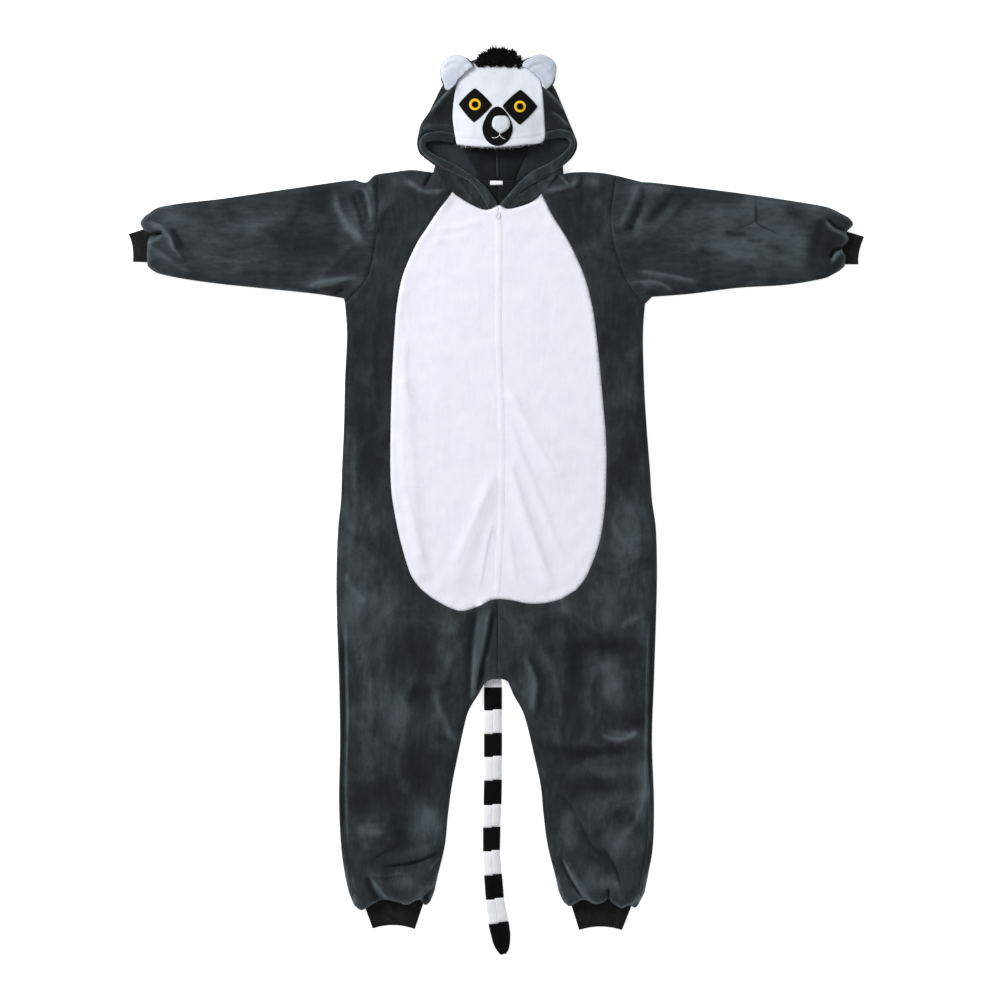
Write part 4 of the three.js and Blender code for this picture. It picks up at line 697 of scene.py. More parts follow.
def turned(rim, radius):
    """The rounded turn of the cloth at its edge, from 0 at the edge to 1."""
    short = 1 - np.clip(rim / radius, 0, 1)
    return np.sqrt(1 - short * short)


def layer(points, side):
    """Height of the outer face of the upper layer of cloth (side 1) or the lower one (side -1)."""
    rim, _ = to_line(points, GARMENT, closed=True)
    half = PLUSH + air(points, rim) / 2
    return lift(points) + half * (1 + side * turned(rim, EDGE_RADIUS))


def upper(points):
    return layer(points, 1)


def lower(points):
    return layer(points, -1)


def nap_and_painted_light(points):
    """How light or dark the pile is drawn: patches that are partly its own and partly painted light
    and shade, painted highlights on the crests of the folds, painted shade in their troughs, and thin
    lines of painted highlight and shade.
    """
    plan = points[:, :2]
    light = np.zeros(len(plan))
    for x, y, reach_x, reach_y, strength in BRUSHED_AND_PAINTED_LIGHT:
        near = near_box(plan, np.array([(x, y)]), 3 * np.array((reach_x, reach_y)))
        if near.any():
            spot = plan[near]
            ragged = 1 + 0.35 * drift(spot, 0.8 * (reach_x + reach_y), 31)
            light[near] += strength * bell(from_middle(spot, x, y, reach_x, reach_y) * ragged, 1)
    # Painted highlight on the crests of the folds, and painted shade in their troughs.
    for path, height, steep, gentle in CREASES:
        light += 0.06 * crease(plan, path, height, 0.75 * steep, 0.75 * gentle)
    for path, strength, left, right in PAINTED_LIGHT_LINES:
        light += crease(plan, path, strength, left, right)
    # Painted highlight along the outline where the hems turn over the cuffs, and along both edges of
    # the rim bands.
    hems = (plan[:, 1] < ANKLE_HEMS_Y) | (np.abs(plan[:, 0]) > WRIST_HEMS_X)
    if hems.any():
        away, _ = to_line(plan[hems], GARMENT, closed=True)
        light[hems] += 0.45 * bell(away - 2, 4)
    for band in (LEFT_BAND, RIGHT_BAND):
        near = near_box(plan, band, 0)
        if near.any():
            away, _ = to_line(plan[near], band, closed=True)
            light[near] += 0.7 * bell(away - 0.8, 1.6) * inside(plan[near], band)
    return light


# Meshes

def triangles(outline, points, lines=()):
    """Fills an outline with triangles through the points and along the lines. Gives the plan points
    and the faces, counter-clockwise seen from above."""
    flat = [Vector(point) for point in outline]
    count = len(outline)
    edges = [(i, (i + 1) % count) for i in range(count)]
    for line in lines:
        start = len(flat)
        flat += [Vector(point) for point in line]
        edges += [(start + i, start + i + 1) for i in range(len(line) - 1)]
    flat += [Vector(point) for point in points]
    verts, _, faces, *_ = delaunay_2d_cdt(flat, edges, [], 0, 1e-4)
    plan = np.array([(v.x, v.y) for v in verts])
    faces = np.array([face for face in faces if len(face) == 3])
    faces = faces[inside(plan[faces].mean(axis=1), outline)]
    a, b, c = plan[faces[:, 0]], plan[faces[:, 1]], plan[faces[:, 2]]
    area = (b[:, 0] - a[:, 0]) * (c[:, 1] - a[:, 1]) - (b[:, 1] - a[:, 1]) * (c[:, 0] - a[:, 0])
    faces = faces[np.abs(area) > 1e-5]
    area = area[np.abs(area) > 1e-5]
    faces[area < 0] = faces[area < 0][:, ::-1]
    return plan, faces


def mesh_object(name, points, faces, materials):
    """A Blender object from points in millimetres. Points that no face uses are left out. Each point
    of the mesh keeps its nap: how light or dark its pile is drawn, with painted highlight and shade."""
    used, faces = np.unique(np.asarray(faces), return_inverse=True)
    faces = faces.reshape(-1, 3)
    points = np.asarray(points)[used]
    mesh = bpy.data.meshes.new(name)
    mesh.from_pydata((points * 0.001).tolist(), [], faces.tolist())
    mesh.update()
    nap = mesh.attributes.new("nap", "FLOAT", "POINT")
    nap.data.foreach_set("value", nap_and_painted_light(points).astype(np.float32))
    for material in materials:
        mesh.materials.append(material)
    mesh.polygons.foreach_set("use_smooth", [True] * len(mesh.polygons))
    piece = bpy.data.objects.new(name, mesh)
    bpy.context.scene.collection.objects.link(piece)
    return piece


def sewn_on(piece):
    """Declares a piece that stands for no solid of its own."""
    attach(piece, "root")


def on_garment(piece, slot, *nodes):
    """Declares a piece that stands for solids of the garment."""
    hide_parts(*nodes)
    sewn_on(piece)


def thick(piece, wall, inner_material=0):
    """Gives a sheet its wall, inwards from the face that shows."""
    shell = piece.modifiers.new("wall", "SOLIDIFY")
    shell.thickness = wall * 0.001
    shell.offset = -1
    shell.material_offset = inner_material
    return piece


# Materials

def linear(code):
    """An sRGB hex colour as linear red, green, blue and alpha."""
    parts = [int(code[i:i + 2], 16) / 255 for i in (1, 3, 5)]
    return (*[c / 12.92 if c <= 0.04045 else ((c + 0.055) / 1.055) ** 2.4 for c in parts], 1.0)


def add(tree, kind, settings=None, links=None):
    """Adds a node, sets its sockets, properties and colour stops, and links its inputs to other nodes'
    outputs."""
    node = tree.nodes.new(kind)
    for name, value in (settings or {}).items():
        if name == "stops":
            band = node.color_ramp
            while len(band.elements) < len(value):
                band.elements.new(0.5)
            for element, (place, code) in zip(band.elements, value):
                element.position = place
                element.color = linear(code)
        elif isinstance(name, str) and hasattr(node, name) and name not in node.inputs:
            setattr(node, name, value)
        else:
            node.inputs[name].default_value = value
    for name, source in (links or {}).items():
        tree.links.new(source, node.inputs[name])
    return node


def new_material(name):
    material = bpy.data.materials.new(name)
    material.use_nodes = True
    tree = material.node_tree
    tree.nodes.clear()
    return material, tree


def shades(dark, middle, light):
    return [(0.3, dark), (0.5, middle), (0.7, light)]


STROKE = 0.011  # the width of one stroke of the brush, in metres
GRAIN = 0.22


def plush(
    name, stops, cloud=0.07, sheen=0.5, sheen_tint="#ffffff", nap=0.0016, depth=0.9, rough=0.95, streak=0.25,
    nap_and_painted_light_weight=0.0, lie=(1.0, 0.3, 1.0),
):
    """Flannel plush: knitted polyester with a short brushed pile. The pile leans this way and that,
    so it shows as soft lighter and darker clouds, and its fibre ends give a fine grain."""
    # The real grain is about 0.3 mm. The nap is drawn 0.8 to 2.2 mm so that it shows.
    material, tree = new_material(name)
    place = add(tree, "ShaderNodeTexCoord").outputs["Object"]
    clouds = add(tree, "ShaderNodeTexNoise", {
        "Scale": 1 / cloud, "Detail": 5.0, "Roughness": 0.62, "Distortion": 0.8,
    }, {"Vector": place})
    strokes_at = add(tree, "ShaderNodeMapping", {"Scale": lie, "Rotation": (0, 0, 0.12)}, {"Vector": place})
    strokes = add(tree, "ShaderNodeTexNoise", {
        "Scale": 1 / STROKE, "Detail": 4.0, "Roughness": 0.6,
    }, {"Vector": strokes_at.outputs["Vector"]})
    fibre = add(tree, "ShaderNodeTexNoise", {
        "Scale": 1 / nap, "Detail": 3.0, "Roughness": 0.7,
    }, {"Vector": place})
    stroked = add(tree, "ShaderNodeMath", {"operation": "MULTIPLY", 1: streak}, {0: strokes.outputs["Fac"]})
    mixed = add(tree, "ShaderNodeMath", {"operation": "MULTIPLY_ADD", 1: 1 - streak}, {
        0: clouds.outputs["Fac"], 2: stroked.outputs[0],
    })
    grain = add(tree, "ShaderNodeMath", {"operation": "MULTIPLY_ADD", 1: GRAIN}, {
        0: fibre.outputs["Fac"], 2: mixed.outputs[0],
    })
    level = add(tree, "ShaderNodeMath", {"operation": "SUBTRACT", 1: GRAIN / 2}, {0: grain.outputs[0]})
    # The nap attribute lightens or darkens the colour: the pile's own patches, with painted highlights and
    # painted shade of the folds and edges.
    nap_and_painted_light_node = add(tree, "ShaderNodeAttribute", {"attribute_name": "nap"})
    lit = add(tree, "ShaderNodeMath", {"operation": "MULTIPLY_ADD", 1: nap_and_painted_light_weight}, {
        0: nap_and_painted_light_node.outputs["Fac"], 2: level.outputs[0],
    })
    colour = add(tree, "ShaderNodeValToRGB", {"stops": stops}, {"Fac": lit.outputs[0]})
    soft = add(tree, "ShaderNodeBump", {"Strength": 0.35, "Distance": 0.0015}, {
        "Height": strokes.outputs["Fac"],
    })
    pile = add(tree, "ShaderNodeBump", {"Strength": depth, "Distance": 0.0009}, {
        "Height": fibre.outputs["Fac"], "Normal": soft.outputs["Normal"],
    })
    shader = add(tree, "ShaderNodeBsdfPrincipled", {
        "Roughness": rough, "IOR": 1.5, "Specular IOR Level": 0.15,
        "Sheen Weight": sheen, "Sheen Roughness": 0.45, "Sheen Tint": linear(sheen_tint),
    }, {"Base Color": colour.outputs["Color"], "Normal": pile.outputs["Normal"]})
    add(tree, "ShaderNodeOutputMaterial", {}, {"Surface": shader.outputs["BSDF"]})
    return material


# Slate plush of the suit. Its clouds are a hand wide, and a hand's strokes show in it.
SLATE_SHADES = [(0.2, "#171b1e"), (0.44, "#23282c"), (0.6, "#31373b"), (0.95, "#545e63")]
SLATE_SHEEN = "#a9b7c0"
SLATE_FINISH = {"cloud": 0.09, "sheen": 0.28, "sheen_tint": SLATE_SHEEN, "nap_and_painted_light_weight": 0.42, "streak": 0.38}
SLATE_PLUSH = plush("Slate flannel plush", SLATE_SHADES, **SLATE_FINISH)
SLEEVE_PLUSH = plush(
    "Slate flannel plush of the sleeves", SLATE_SHADES, lie=(0.3, 1.0, 1.0), **SLATE_FINISH,
)
# Its knitted wrong side is darker and duller. It is drawn in a lit copy and a shaded one: the
# lighter copy, with painted light, inside the hood's side walls and on the seam allowances, and the
# darker copy, with painted shade, at the back of the hood and inside the body.
SLATE_LINING = plush("Slate plush wrong side", shades("#1c2225", "#262d31", "#32393d"), sheen=0.12)
SHADED_LINING = plush("Slate plush wrong side in shade", shades("#0e1214", "#161b1d", "#202629"), sheen=0.08)
RIM_PLUSH = plush(
    "Slate plush rim binding", shades("#1d2326", "#2a3135", "#3f484d"), sheen=0.35, sheen_tint=SLATE_SHEEN,
    cloud=0.03, nap_and_painted_light_weight=0.35,
)
# White plush hides its own pile, so it has hardly any cloud in it.
WHITE_PLUSH = plush(
    "White flannel plush", shades("#e8ebf6", "#edeffa", "#f1f3fc"), cloud=0.05, sheen=0.1, depth=0.4,
)
FACE_PLUSH = plush(
    "White plush of the face", shades("#d6dbe5", "#dfe4ed", "#e7ebf3"), cloud=0.04, sheen=0.1, depth=0.5,
)
# The ears' white plush is drawn darker than the rest: painted shade.
EAR_PLUSH = plush(
    "White plush of the ears", shades("#bdc4d4", "#c6cddb", "#d0d6e2"), cloud=0.04, sheen=0.1, depth=0.5,
)
BLACK_PLUSH = plush(
    "Black short plush", [(0.32, "#020202"), (0.5, "#040405"), (0.68, "#0a0a0b")], sheen=0.02, nap=0.0022,
)
TAIL_WHITE = plush(
    "White tail plush", shades("#e2e5ec", "#eff1f6", "#f8f9fc"), cloud=0.03, sheen=0.1, nap=0.0022, depth=0.9,
)
# Needle felt: matted fibre, flat and dull, with a faint fleck.
BLACK_FELT = plush(
    "Black needle felt", shades("#060607", "#0a0a0b", "#121214"), cloud=0.012, sheen=0.0, nap=0.0012,
    depth=0.4,
)
YELLOW_FELT = plush(
    "Yellow needle felt", shades("#e6ac0c", "#f2c21c", "#fbd63c"), cloud=0.012, sheen=0.1, nap=0.0012,
    depth=0.4,
)
GREY_PLUSH = plush(
    "Pale grey padded plush", shades("#c6ccd4", "#d2d8e0", "#dfe3ea"), cloud=0.012, sheen=0.1, nap=0.0014,
    depth=0.6,
)
# Faux fur: long modacrylic fibre, even in colour. Its locks come from the shape of the strands.
FUR_BLACK = plush(
    "Black faux fur", shades("#020203", "#050506", "#0e0f10"), cloud=0.01, sheen=0.05, nap=0.002, depth=0.3,
)
FUR_WHITE = plush(
    "White faux fur", shades("#e4e8ef", "#eef1f8", "#f8f9fc"), cloud=0.01, sheen=0.3, nap=0.002, depth=0.3,
)
# Rib knit of cotton and elastane: matt yarn without a pile.
BLACK_RIB = plush(
    "Black rib knit", shades("#131314", "#1b1b1c", "#28282a"), cloud=0.02, sheen=0.05, nap=0.0012, depth=0.5,
)
# Woven satin, with a soft gloss, and stitching thread.
WHITE_SATIN = plush(
    "White woven satin", shades("#eceef2", "#f4f5f7", "#fafafa"), cloud=0.02, sheen=0.0, nap=0.0008,
    depth=0.2, rough=0.5,
)
WHITE_THREAD = plush(
    "White embroidery thread", shades("#e3e5ea", "#f0f1f4", "#fafafc"), cloud=0.01, sheen=0.1, nap=0.0008,
    depth=0.3, rough=0.6,
)


def cast_resin(name, code, rough):
    """Cast polyester resin, polished by tumbling: a clean soft gloss with a faint milky cloud."""
    material, tree = new_material(name)
    place = add(tree, "ShaderNodeTexCoord").outputs["Object"]
    milk = add(tree, "ShaderNodeTexNoise", {"Scale": 1 / 0.004, "Detail": 2.0}, {"Vector": place})
    colour = add(tree, "ShaderNodeValToRGB", {"stops": [(0.35, code), (0.65, "#e8eaee")]}, {
        "Fac": milk.outputs["Fac"],
    })
    shader = add(tree, "ShaderNodeBsdfPrincipled", {"Roughness": rough, "IOR": 1.56}, {
        "Base Color": colour.outputs["Color"],
    })
    add(tree, "ShaderNodeOutputMaterial", {}, {"Surface": shader.outputs["BSDF"]})
    return material


BUTTON_RESIN = cast_resin("Pale cast resin", "#dadde2", 0.5)


# The garment's two layers, each as one triangulation that is then cut along the seams

SEAM_LINES = [
    *ARMHOLE_LINES, NECK_LINE, np.vstack([BELLY, BELLY[:1]]), CENTRE_LINE, HOOD_CENTRE_LINE,
    np.vstack([FRONT_EDGE, FRONT_EDGE[:1]]), np.vstack([FACE_EDGE, FACE_EDGE[:1]]),
    smooth_line(LEFT_BAND_OUTER, 4), smooth_line(RIGHT_BAND_OUTER, 4),
]
RINGS = [inset(GARMENT, distance) for distance in (0.5, 1.6, 3.3, 5.8, 9)]
TOP_SPACING = 4.6
THIN = 3.2
# Narrow creases and thin lines of painted highlight and shade get points of their own, in rows on
# and beside them.
thin_lines = [
    smooth_line(path, 3) for path, _, left, right in [*CREASES, *PAINTED_LIGHT_LINES] if min(left, right) <= THIN
]
beside = []
for line in thin_lines:
    run = np.gradient(line, axis=0)
    run = np.column_stack([-run[:, 1], run[:, 0]]) / np.hypot(*run.T)[:, None]
    beside += [line + run * shift for shift in (-4.2, -2.1, 0, 2.1, 4.2)]
beside = np.vstack(beside)
_, first = np.unique(np.round(beside / 1.4), axis=0, return_index=True)
beside = beside[np.sort(first)]
beside = beside[inside(beside, GARMENT)]
beside = clear_of(beside, [*SEAM_LINES, np.vstack([GARMENT, GARMENT[:1]])], 1.2)
FIELD = clear_of(clear_of(lattice(GARMENT, TOP_SPACING, 11), SEAM_LINES, 2.2), thin_lines, 5.4)
top_plan, top_faces = triangles(GARMENT, np.vstack([*RINGS, FIELD, beside]), SEAM_LINES)


def groove(points, line, depth=1.3, width=2.6, closed=False):
    """The dip in the pile along a sewn seam."""
    near = near_box(points, line, 4 * width)
    dip = np.zeros(len(points))
    if near.any():
        away, _ = to_line(points[near], line, closed)
        dip[near] = depth * bell(away, width) - 0.35 * depth * bell(away - 3.2 * width, 1.4 * width)
    return dip


BAND_LINES = [smooth_line(line, 4) for line in (LEFT_BAND_OUTER[:-2], RIGHT_BAND_OUTER[:-2])]


def sewn_dips(points):
    dips = groove(points, NECK_LINE) + groove(points, BELLY, closed=True)
    for line in ARMHOLE_LINES:
        dips += groove(points, line, 1.6)
    dips += groove(points, CENTRE_LINE, 1.2) + groove(points, HOOD_CENTRE_LINE, 1.0)
    for line in BAND_LINES:
        dips += groove(points, line, 2.6, 2.6)
    side = groove(points, FRONT_EDGE, 1.1, 2.2, closed=True)
    return dips + side * (points[:, 1] < 640) * (points[:, 1] > -780)


top_height = upper(top_plan) - sewn_dips(top_plan)
SLEEVE_AREAS = [
    joined(ARMHOLE_LINES[0], [(-900, 390), (-900, 700)]),
    joined(ARMHOLE_LINES[1], [(900, 390), (900, 700)]),
]
ABOVE_HOOD = [(200, 700), (200, 940), (-200, 940), (-200, 700)]
HOOD_FRONT = joined(NECK_LINE, ABOVE_HOOD)
HOOD_BACK = joined(smooth_line(BACK_NECK, 5), ABOVE_HOOD)
MIDDLE_EDGE = [
    (-39, 600), (-39, 637), (-54, 670), (-68, 706), (-73, 760), (-73, 820), (-63, 950),
    (55, 950), (65, 820), (65, 760), (58, 706), (44, 670), (31, 637), (31, 600),
]
HOOD_MIDDLE = joined(MIDDLE_EDGE)

# The underside: flat on the floor, with shallow hollows where the back cloth has crumpled.
BACK_SEAM = np.array([(CENTRE, y) for y in np.arange(-352, 889, 8)], float)
BOTTOM_LINES = [
    *ARMHOLE_LINES, smooth_line(BACK_NECK, 6), BACK_SEAM,
    smooth_line(MIDDLE_EDGE[:7], 6), smooth_line(MIDDLE_EDGE[7:], 6),
]
FOOTPRINTS = [joined(inset(joined(corners), -1)) for corners in CUFFS.values()]
footprint_rings = [ring for edge in FOOTPRINTS for ring in (edge, inset(edge, -2.5), inset(edge, 3))]
under_points = clear_of(lattice(GARMENT, 9.5, 11), BOTTOM_LINES, 3)
bottom_plan, bottom_faces = triangles(
    GARMENT,
    np.vstack([*[inset(GARMENT, distance) for distance in (0.5, 2, 4.5, 9)], under_points, *footprint_rings]),
    BOTTOM_LINES,
)
bottom_height = lower(bottom_plan)
edge_distance, _ = to_line(bottom_plan, GARMENT, closed=True)
for path, height, steep, gentle in BACK_CREASES:
    bottom_height += crease(bottom_plan, path, height, steep, gentle) * smoothstep(9, 30, edge_distance)
for footprint in FOOTPRINTS:
    off_cuff, _ = to_line(bottom_plan, footprint, closed=True)
    over_cuff = np.where(inside(bottom_plan, footprint), 1.0, 1 - smoothstep(0, 2.4, off_cuff))
    bottom_height = np.maximum(bottom_height, (CUFF_THICK + 0.6) * over_cuff)

TOP_MIDDLES = top_plan[top_faces].mean(axis=1)
BOTTOM_MIDDLES = bottom_plan[bottom_faces].mean(axis=1)


def areas(middles):
    """Sorts triangles into the garment's areas by their middles."""
    sleeves = [inside(middles, area) for area in SLEEVE_AREAS]
    trunk = ~sleeves[0] & ~sleeves[1]
    return sleeves, trunk, middles[:, 0] < CENTRE


top_sleeves, top_trunk, top_left = areas(TOP_MIDDLES)
bottom_sleeves, bottom_trunk, bottom_left = areas(BOTTOM_MIDDLES)
top_hood = top_trunk & inside(TOP_MIDDLES, HOOD_FRONT)
bottom_hood = bottom_trunk & inside(BOTTOM_MIDDLES, HOOD_BACK)
open_or_face = np.any([
    inside(TOP_MIDDLES, area) for area in (OPENING, FACE_EDGE, LEFT_BAND, RIGHT_BAND)
], axis=0)
top_torso = top_trunk & ~top_hood
from_placket, _ = to_line(TOP_MIDDLES, PLACKET_MIDDLE)
in_belly = top_torso & inside(TOP_MIDDLES, BELLY)
placket_x = np.interp(TOP_MIDDLES[:, 1], PLACKET_MIDDLE[::-1, 1], PLACKET_MIDDLE[::-1, 0])
left_of_placket = TOP_MIDDLES[:, 0] < placket_x
under_placket = in_belly & (from_placket < 2.5) & (np.abs(TOP_MIDDLES[:, 1] - 190) < 380)
side_strip = top_torso & ~inside(TOP_MIDDLES, FRONT_EDGE)
front = top_torso & ~in_belly & ~side_strip
middle_top = top_hood & inside(TOP_MIDDLES, HOOD_MIDDLE) & ~open_or_face
middle_bottom = bottom_hood & inside(BOTTOM_MIDDLES, HOOD_MIDDLE)


def cloth(name, above, below, materials, inner_material=0):
    """One cut piece: its triangles in the upper layer and in the lower layer, joined at the outline."""
    points = np.vstack([
        np.column_stack([top_plan, top_height]), np.column_stack([bottom_plan, bottom_height]),
    ])
    faces = top_faces[above]
    if below is not None:
        faces = np.vstack([faces, bottom_faces[below][:, ::-1] + len(top_plan)])
    _, first, same = np.unique(np.round(points, 2), axis=0, return_index=True, return_inverse=True)
    faces = first[same.ravel()][faces]
    whole = (faces[:, 0] != faces[:, 1]) & (faces[:, 1] != faces[:, 2]) & (faces[:, 0] != faces[:, 2])
    return thick(mesh_object(name, points, faces[whole], materials), CLOTH, inner_material)


for side, top_side, bottom_side, belly_side, index in (
    ("left", top_left, bottom_left, left_of_placket, 0),
    ("right", ~top_left, ~bottom_left, ~left_of_placket, 1),
):
    for part, above, below, lining, slot in (
        ("front", front & top_side, None, None, "plush_dark"),
        ("back", side_strip & top_side, bottom_trunk & ~bottom_hood & bottom_side, SHADED_LINING, "plush_dark"),
        ("belly", in_belly & ~under_placket & belly_side, None, None, "plush_white"),
        ("sleeve", top_sleeves[index], bottom_sleeves[index], None, "plush_dark"),
        (
            "hood_side", top_hood & top_side & ~open_or_face & ~middle_top,
            bottom_hood & bottom_side & ~middle_bottom, SLATE_LINING, "plush_dark",
        ),
        ("hood_middle", middle_top & top_side, middle_bottom & bottom_side, SHADED_LINING, "plush_dark"),
    ):
        outer = {"belly": WHITE_PLUSH, "sleeve": SLEEVE_PLUSH}.get(part, SLATE_PLUSH)
        materials = [outer, lining] if lining else [outer]
        piece = cloth(f"{part}_cloth_{side}", above, below, materials, len(materials) - 1)
        on_garment(piece, slot, f"{part}_{side}")


# Pieces sewn on: flat plates of cloth that follow what carries them

def plate(name, outline, top, bottom, spacing, materials, edge=2.6, holes=()):
    """A closed piece between two heights, its upper edge rounded over."""
    outline = joined(outline, nearest=0.2)
    rings = [ring for ring in (inset(outline, edge * part) for part in (0.15, 0.45, 1)) if len(ring) > 2]
    inner_points = lattice(outline, spacing, edge * 1.3)
    hole_lines = [np.vstack([hole, hole[:1]]) for hole in holes]
    plan, faces = triangles(outline, np.vstack([*rings, inner_points]), hole_lines)
    for hole in holes:
        faces = faces[~inside(plan[faces].mean(axis=1), hole)]
    rim, _ = to_line(plan, outline, closed=True)
    base = bottom(plan)
    high = top(plan)
    shoulder = base + 0.35 * (high - base)
    high = shoulder + (high - shoulder) * turned(rim, edge)
    count = len(plan)
    edges = np.sort(np.vstack([faces[:, [0, 1]], faces[:, [1, 2]], faces[:, [2, 0]]]), axis=1)
    pairs, seen = np.unique(edges, axis=0, return_counts=True)
    border = {tuple(pair) for pair in pairs[seen == 1]}
    walls = []
    for face in faces:
        for a, b in ((face[0], face[1]), (face[1], face[2]), (face[2], face[0])):
            if (min(a, b), max(a, b)) in border:
                walls += [(b, a, a + count), (b, a + count, b + count)]
    points = np.vstack([np.column_stack([plan, high]), np.column_stack([plan, base])])
    return mesh_object(name, points, np.vstack([faces, faces[:, ::-1] + count, walls]), materials)


def disc(x, y, radius, corners, squash=1.0):
    angle = np.arange(corners) / corners * math.tau
    return np.column_stack([x + radius * np.cos(angle), y + squash * radius * np.sin(angle)])


def over(surface, rise):
    return lambda points: surface(points) + rise


def flat(height):
    return lambda points: np.full(len(points), height)


# Placket: a folded strip over the closure, with its free edge along the middle.
placket_line = PLACKET_MIDDLE[(PLACKET_MIDDLE[:, 1] < PLACKET_TOP) & (PLACKET_MIDDLE[:, 1] > PLACKET_FOOT)]
placket_edge = joined(placket_line + (-PLACKET_HALF, 0), (placket_line + (PLACKET_HALF, 0))[::-1])


def placket_top(points):
    rim, _ = to_line(points, placket_edge, closed=True)
    return upper(points) + PLACKET_RISE * (smoothstep(0, PLACKET_HALF, rim) - 0.12)


placket = plate("placket_cloth", placket_edge, placket_top, over(upper, -PLUSH), 3.2, [WHITE_PLUSH], 0.9)
on_garment(placket, "plush_white", "placket")

# Button: a turned rim round a dished middle with four holes.
BUTTON_AT = (-4.5, 569)
BUTTON_RADIUS = 5.6
BUTTON_LONG = 1.45  # it lies tilted, so it shows longer than wide
button_base = float(upper(np.array([BUTTON_AT], float))[0]) + PLACKET_RISE - 0.2


def button_top(points):
    out = np.hypot(points[:, 0] - BUTTON_AT[0], (points[:, 1] - BUTTON_AT[1]) / BUTTON_LONG)
    return button_base + 0.9 + 0.35 * bell(out - 4.3, 0.9)


button_holes = [
    disc(BUTTON_AT[0] + dx, BUTTON_AT[1] + dy, 0.55, 10) for dx in (-1.2, 1.2) for dy in (-1.2, 1.2)
]
button = plate(
    "sewn_button", disc(*BUTTON_AT, BUTTON_RADIUS, 48, BUTTON_LONG), button_top, flat(button_base), 0.7,
    [BUTTON_RESIN], 0.7, button_holes,
)
on_garment(button, "button_pale", "button")

# Face panel in long-napped white plush, and the felt pieces sewn to it.
FACE_HEM = smooth_line([(-84, 724), (-40, 720), (10, 719), (50, 722), (84, 728)], 4)


def face_top(points):
    return upper(points) + FACE_PILE - groove(points, FACE_HEM, 1.2, 1.9)


face = plate("face_panel", FACE_EDGE, face_top, over(upper, -PLUSH), 2.6, [FACE_PLUSH], 4)
on_garment(face, "plush_white", "face")
patch_top = over(face_top, SEAM + FELT)
iris_top = over(patch_top, SEAM + FELT)
pupil_top = over(iris_top, SEAM + FELT)
PATCHES = {
    "left": ((-50, 790), [(-50, 824), (-83.5, 791), (-52.5, 753), (-14.5, 789)]),
    "right": ((40, 786), [(41, 821), (4, 787), (39.2, 748), (76, 786)]),
}


def rounded(corners, radius, bulge):
    """A polygon with rounded corners and slightly bowed sides."""
    corners = np.array(corners, float)
    points = []
    for before, corner, after in zip(np.roll(corners, 1, axis=0), corners, np.roll(corners, -1, axis=0)):
        back, ahead = before - corner, after - corner
        start = corner + back / np.hypot(*back) * radius
        end = corner + ahead / np.hypot(*ahead) * radius
        for t in np.linspace(0, 1, 6):
            points.append((1 - t) ** 2 * start + 2 * t * (1 - t) * corner + t * t * end)
        middle = (corner + after) / 2
        out = middle - corners.mean(axis=0)
        leave = after - ahead / np.hypot(*ahead) * radius
        for t in np.linspace(0.1, 0.9, 9):
            points.append(end + (leave - end) * t + out / np.hypot(*out) * bulge * 4 * t * (1 - t))
    return joined(points, nearest=0.3)


for side, ((x, y), corners) in PATCHES.items():
    edge = rounded(corners, 4.5, 1.2)
    patch = plate(f"felt_patch_{side}", edge, patch_top, over(face_top, -SUNK), 3.5, [BLACK_FELT], 1.2)
    on_garment(patch, "felt_black", f"eye_patch_{side}")
    iris = plate(f"felt_iris_{side}", disc(x, y, 11.7, 56), iris_top, patch_top, 2.5, [YELLOW_FELT], 0.9)
    on_garment(iris, "felt_yellow", f"iris_{side}")
    pupil = plate(f"felt_pupil_{side}", disc(x, y, 6.7, 40), pupil_top, iris_top, 2, [BLACK_FELT], 0.9)
    on_garment(pupil, "felt_black", f"pupil_{side}")

# Muzzle: an egg of felt, narrower above.
angle = np.arange(80) / 80 * math.tau
over_across, over_up = np.cos(angle), np.sin(angle)
narrow = np.where(over_up > 0, 1 - 0.25 * over_up, 1)
reach = np.where(over_up > 0, 42, 37)
muzzle_edge = np.column_stack([-5 + 30.5 * over_across * narrow, 744 + reach * over_up])
muzzle_top = over(face_top, SEAM + FELT)
muzzle = plate("felt_muzzle", muzzle_edge, muzzle_top, over(face_top, -SUNK), 3.5, [BLACK_FELT], 1.4)
on_garment(muzzle, "felt_black", "muzzle")

# Nose: a stuffed pad, squared above and pointed below.
fullness = np.where(over_up > 0, 0.5, 1.9)
nose_across = np.sign(over_across) * np.abs(over_across) ** fullness
nose_edge = joined(np.column_stack([2 + 18 * nose_across, 749.5 + 18 * over_up]), nearest=0.6)


def nose_top(points):
    rim, _ = to_line(points, nose_edge, closed=True)
    return muzzle_top(points) + 1.5 + 4.4 * turned(rim, 5)


nose = plate("padded_nose", nose_edge, nose_top, over(muzzle_top, -SUNK), 2.2, [GREY_PLUSH], 1.4)
on_garment(nose, "felt_grey", "nose")

# Rim bands: plush folded lengthwise round the face opening and rolled to a soft edge.
for side, edge in (("left", LEFT_BAND), ("right", RIGHT_BAND)):

    def band_top(points, edge=edge):
        rim, _ = to_line(points, edge, closed=True)
        return upper(points) - BAND_SUNK + (BAND_RISE + BAND_SUNK) * turned(rim, 6)

    rim_band = plate(f"rim_band_{side}", edge, band_top, over(upper, -PLUSH - 0.5), 3, [RIM_PLUSH], 1.2)
    on_garment(rim_band, "plush_dark", f"band_{side}")


# Ears: a white front on a dark back that shows as a thin edge.
def ear_height(points):
    rim, _ = to_line(points, GARMENT, closed=True)
    within = inside(points, GARMENT)
    drop = 1 - smoothstep(2, 44, rim)
    return np.where(within, np.maximum(upper(points), 16.5), 3 + 13.5 * drop) + SEAM


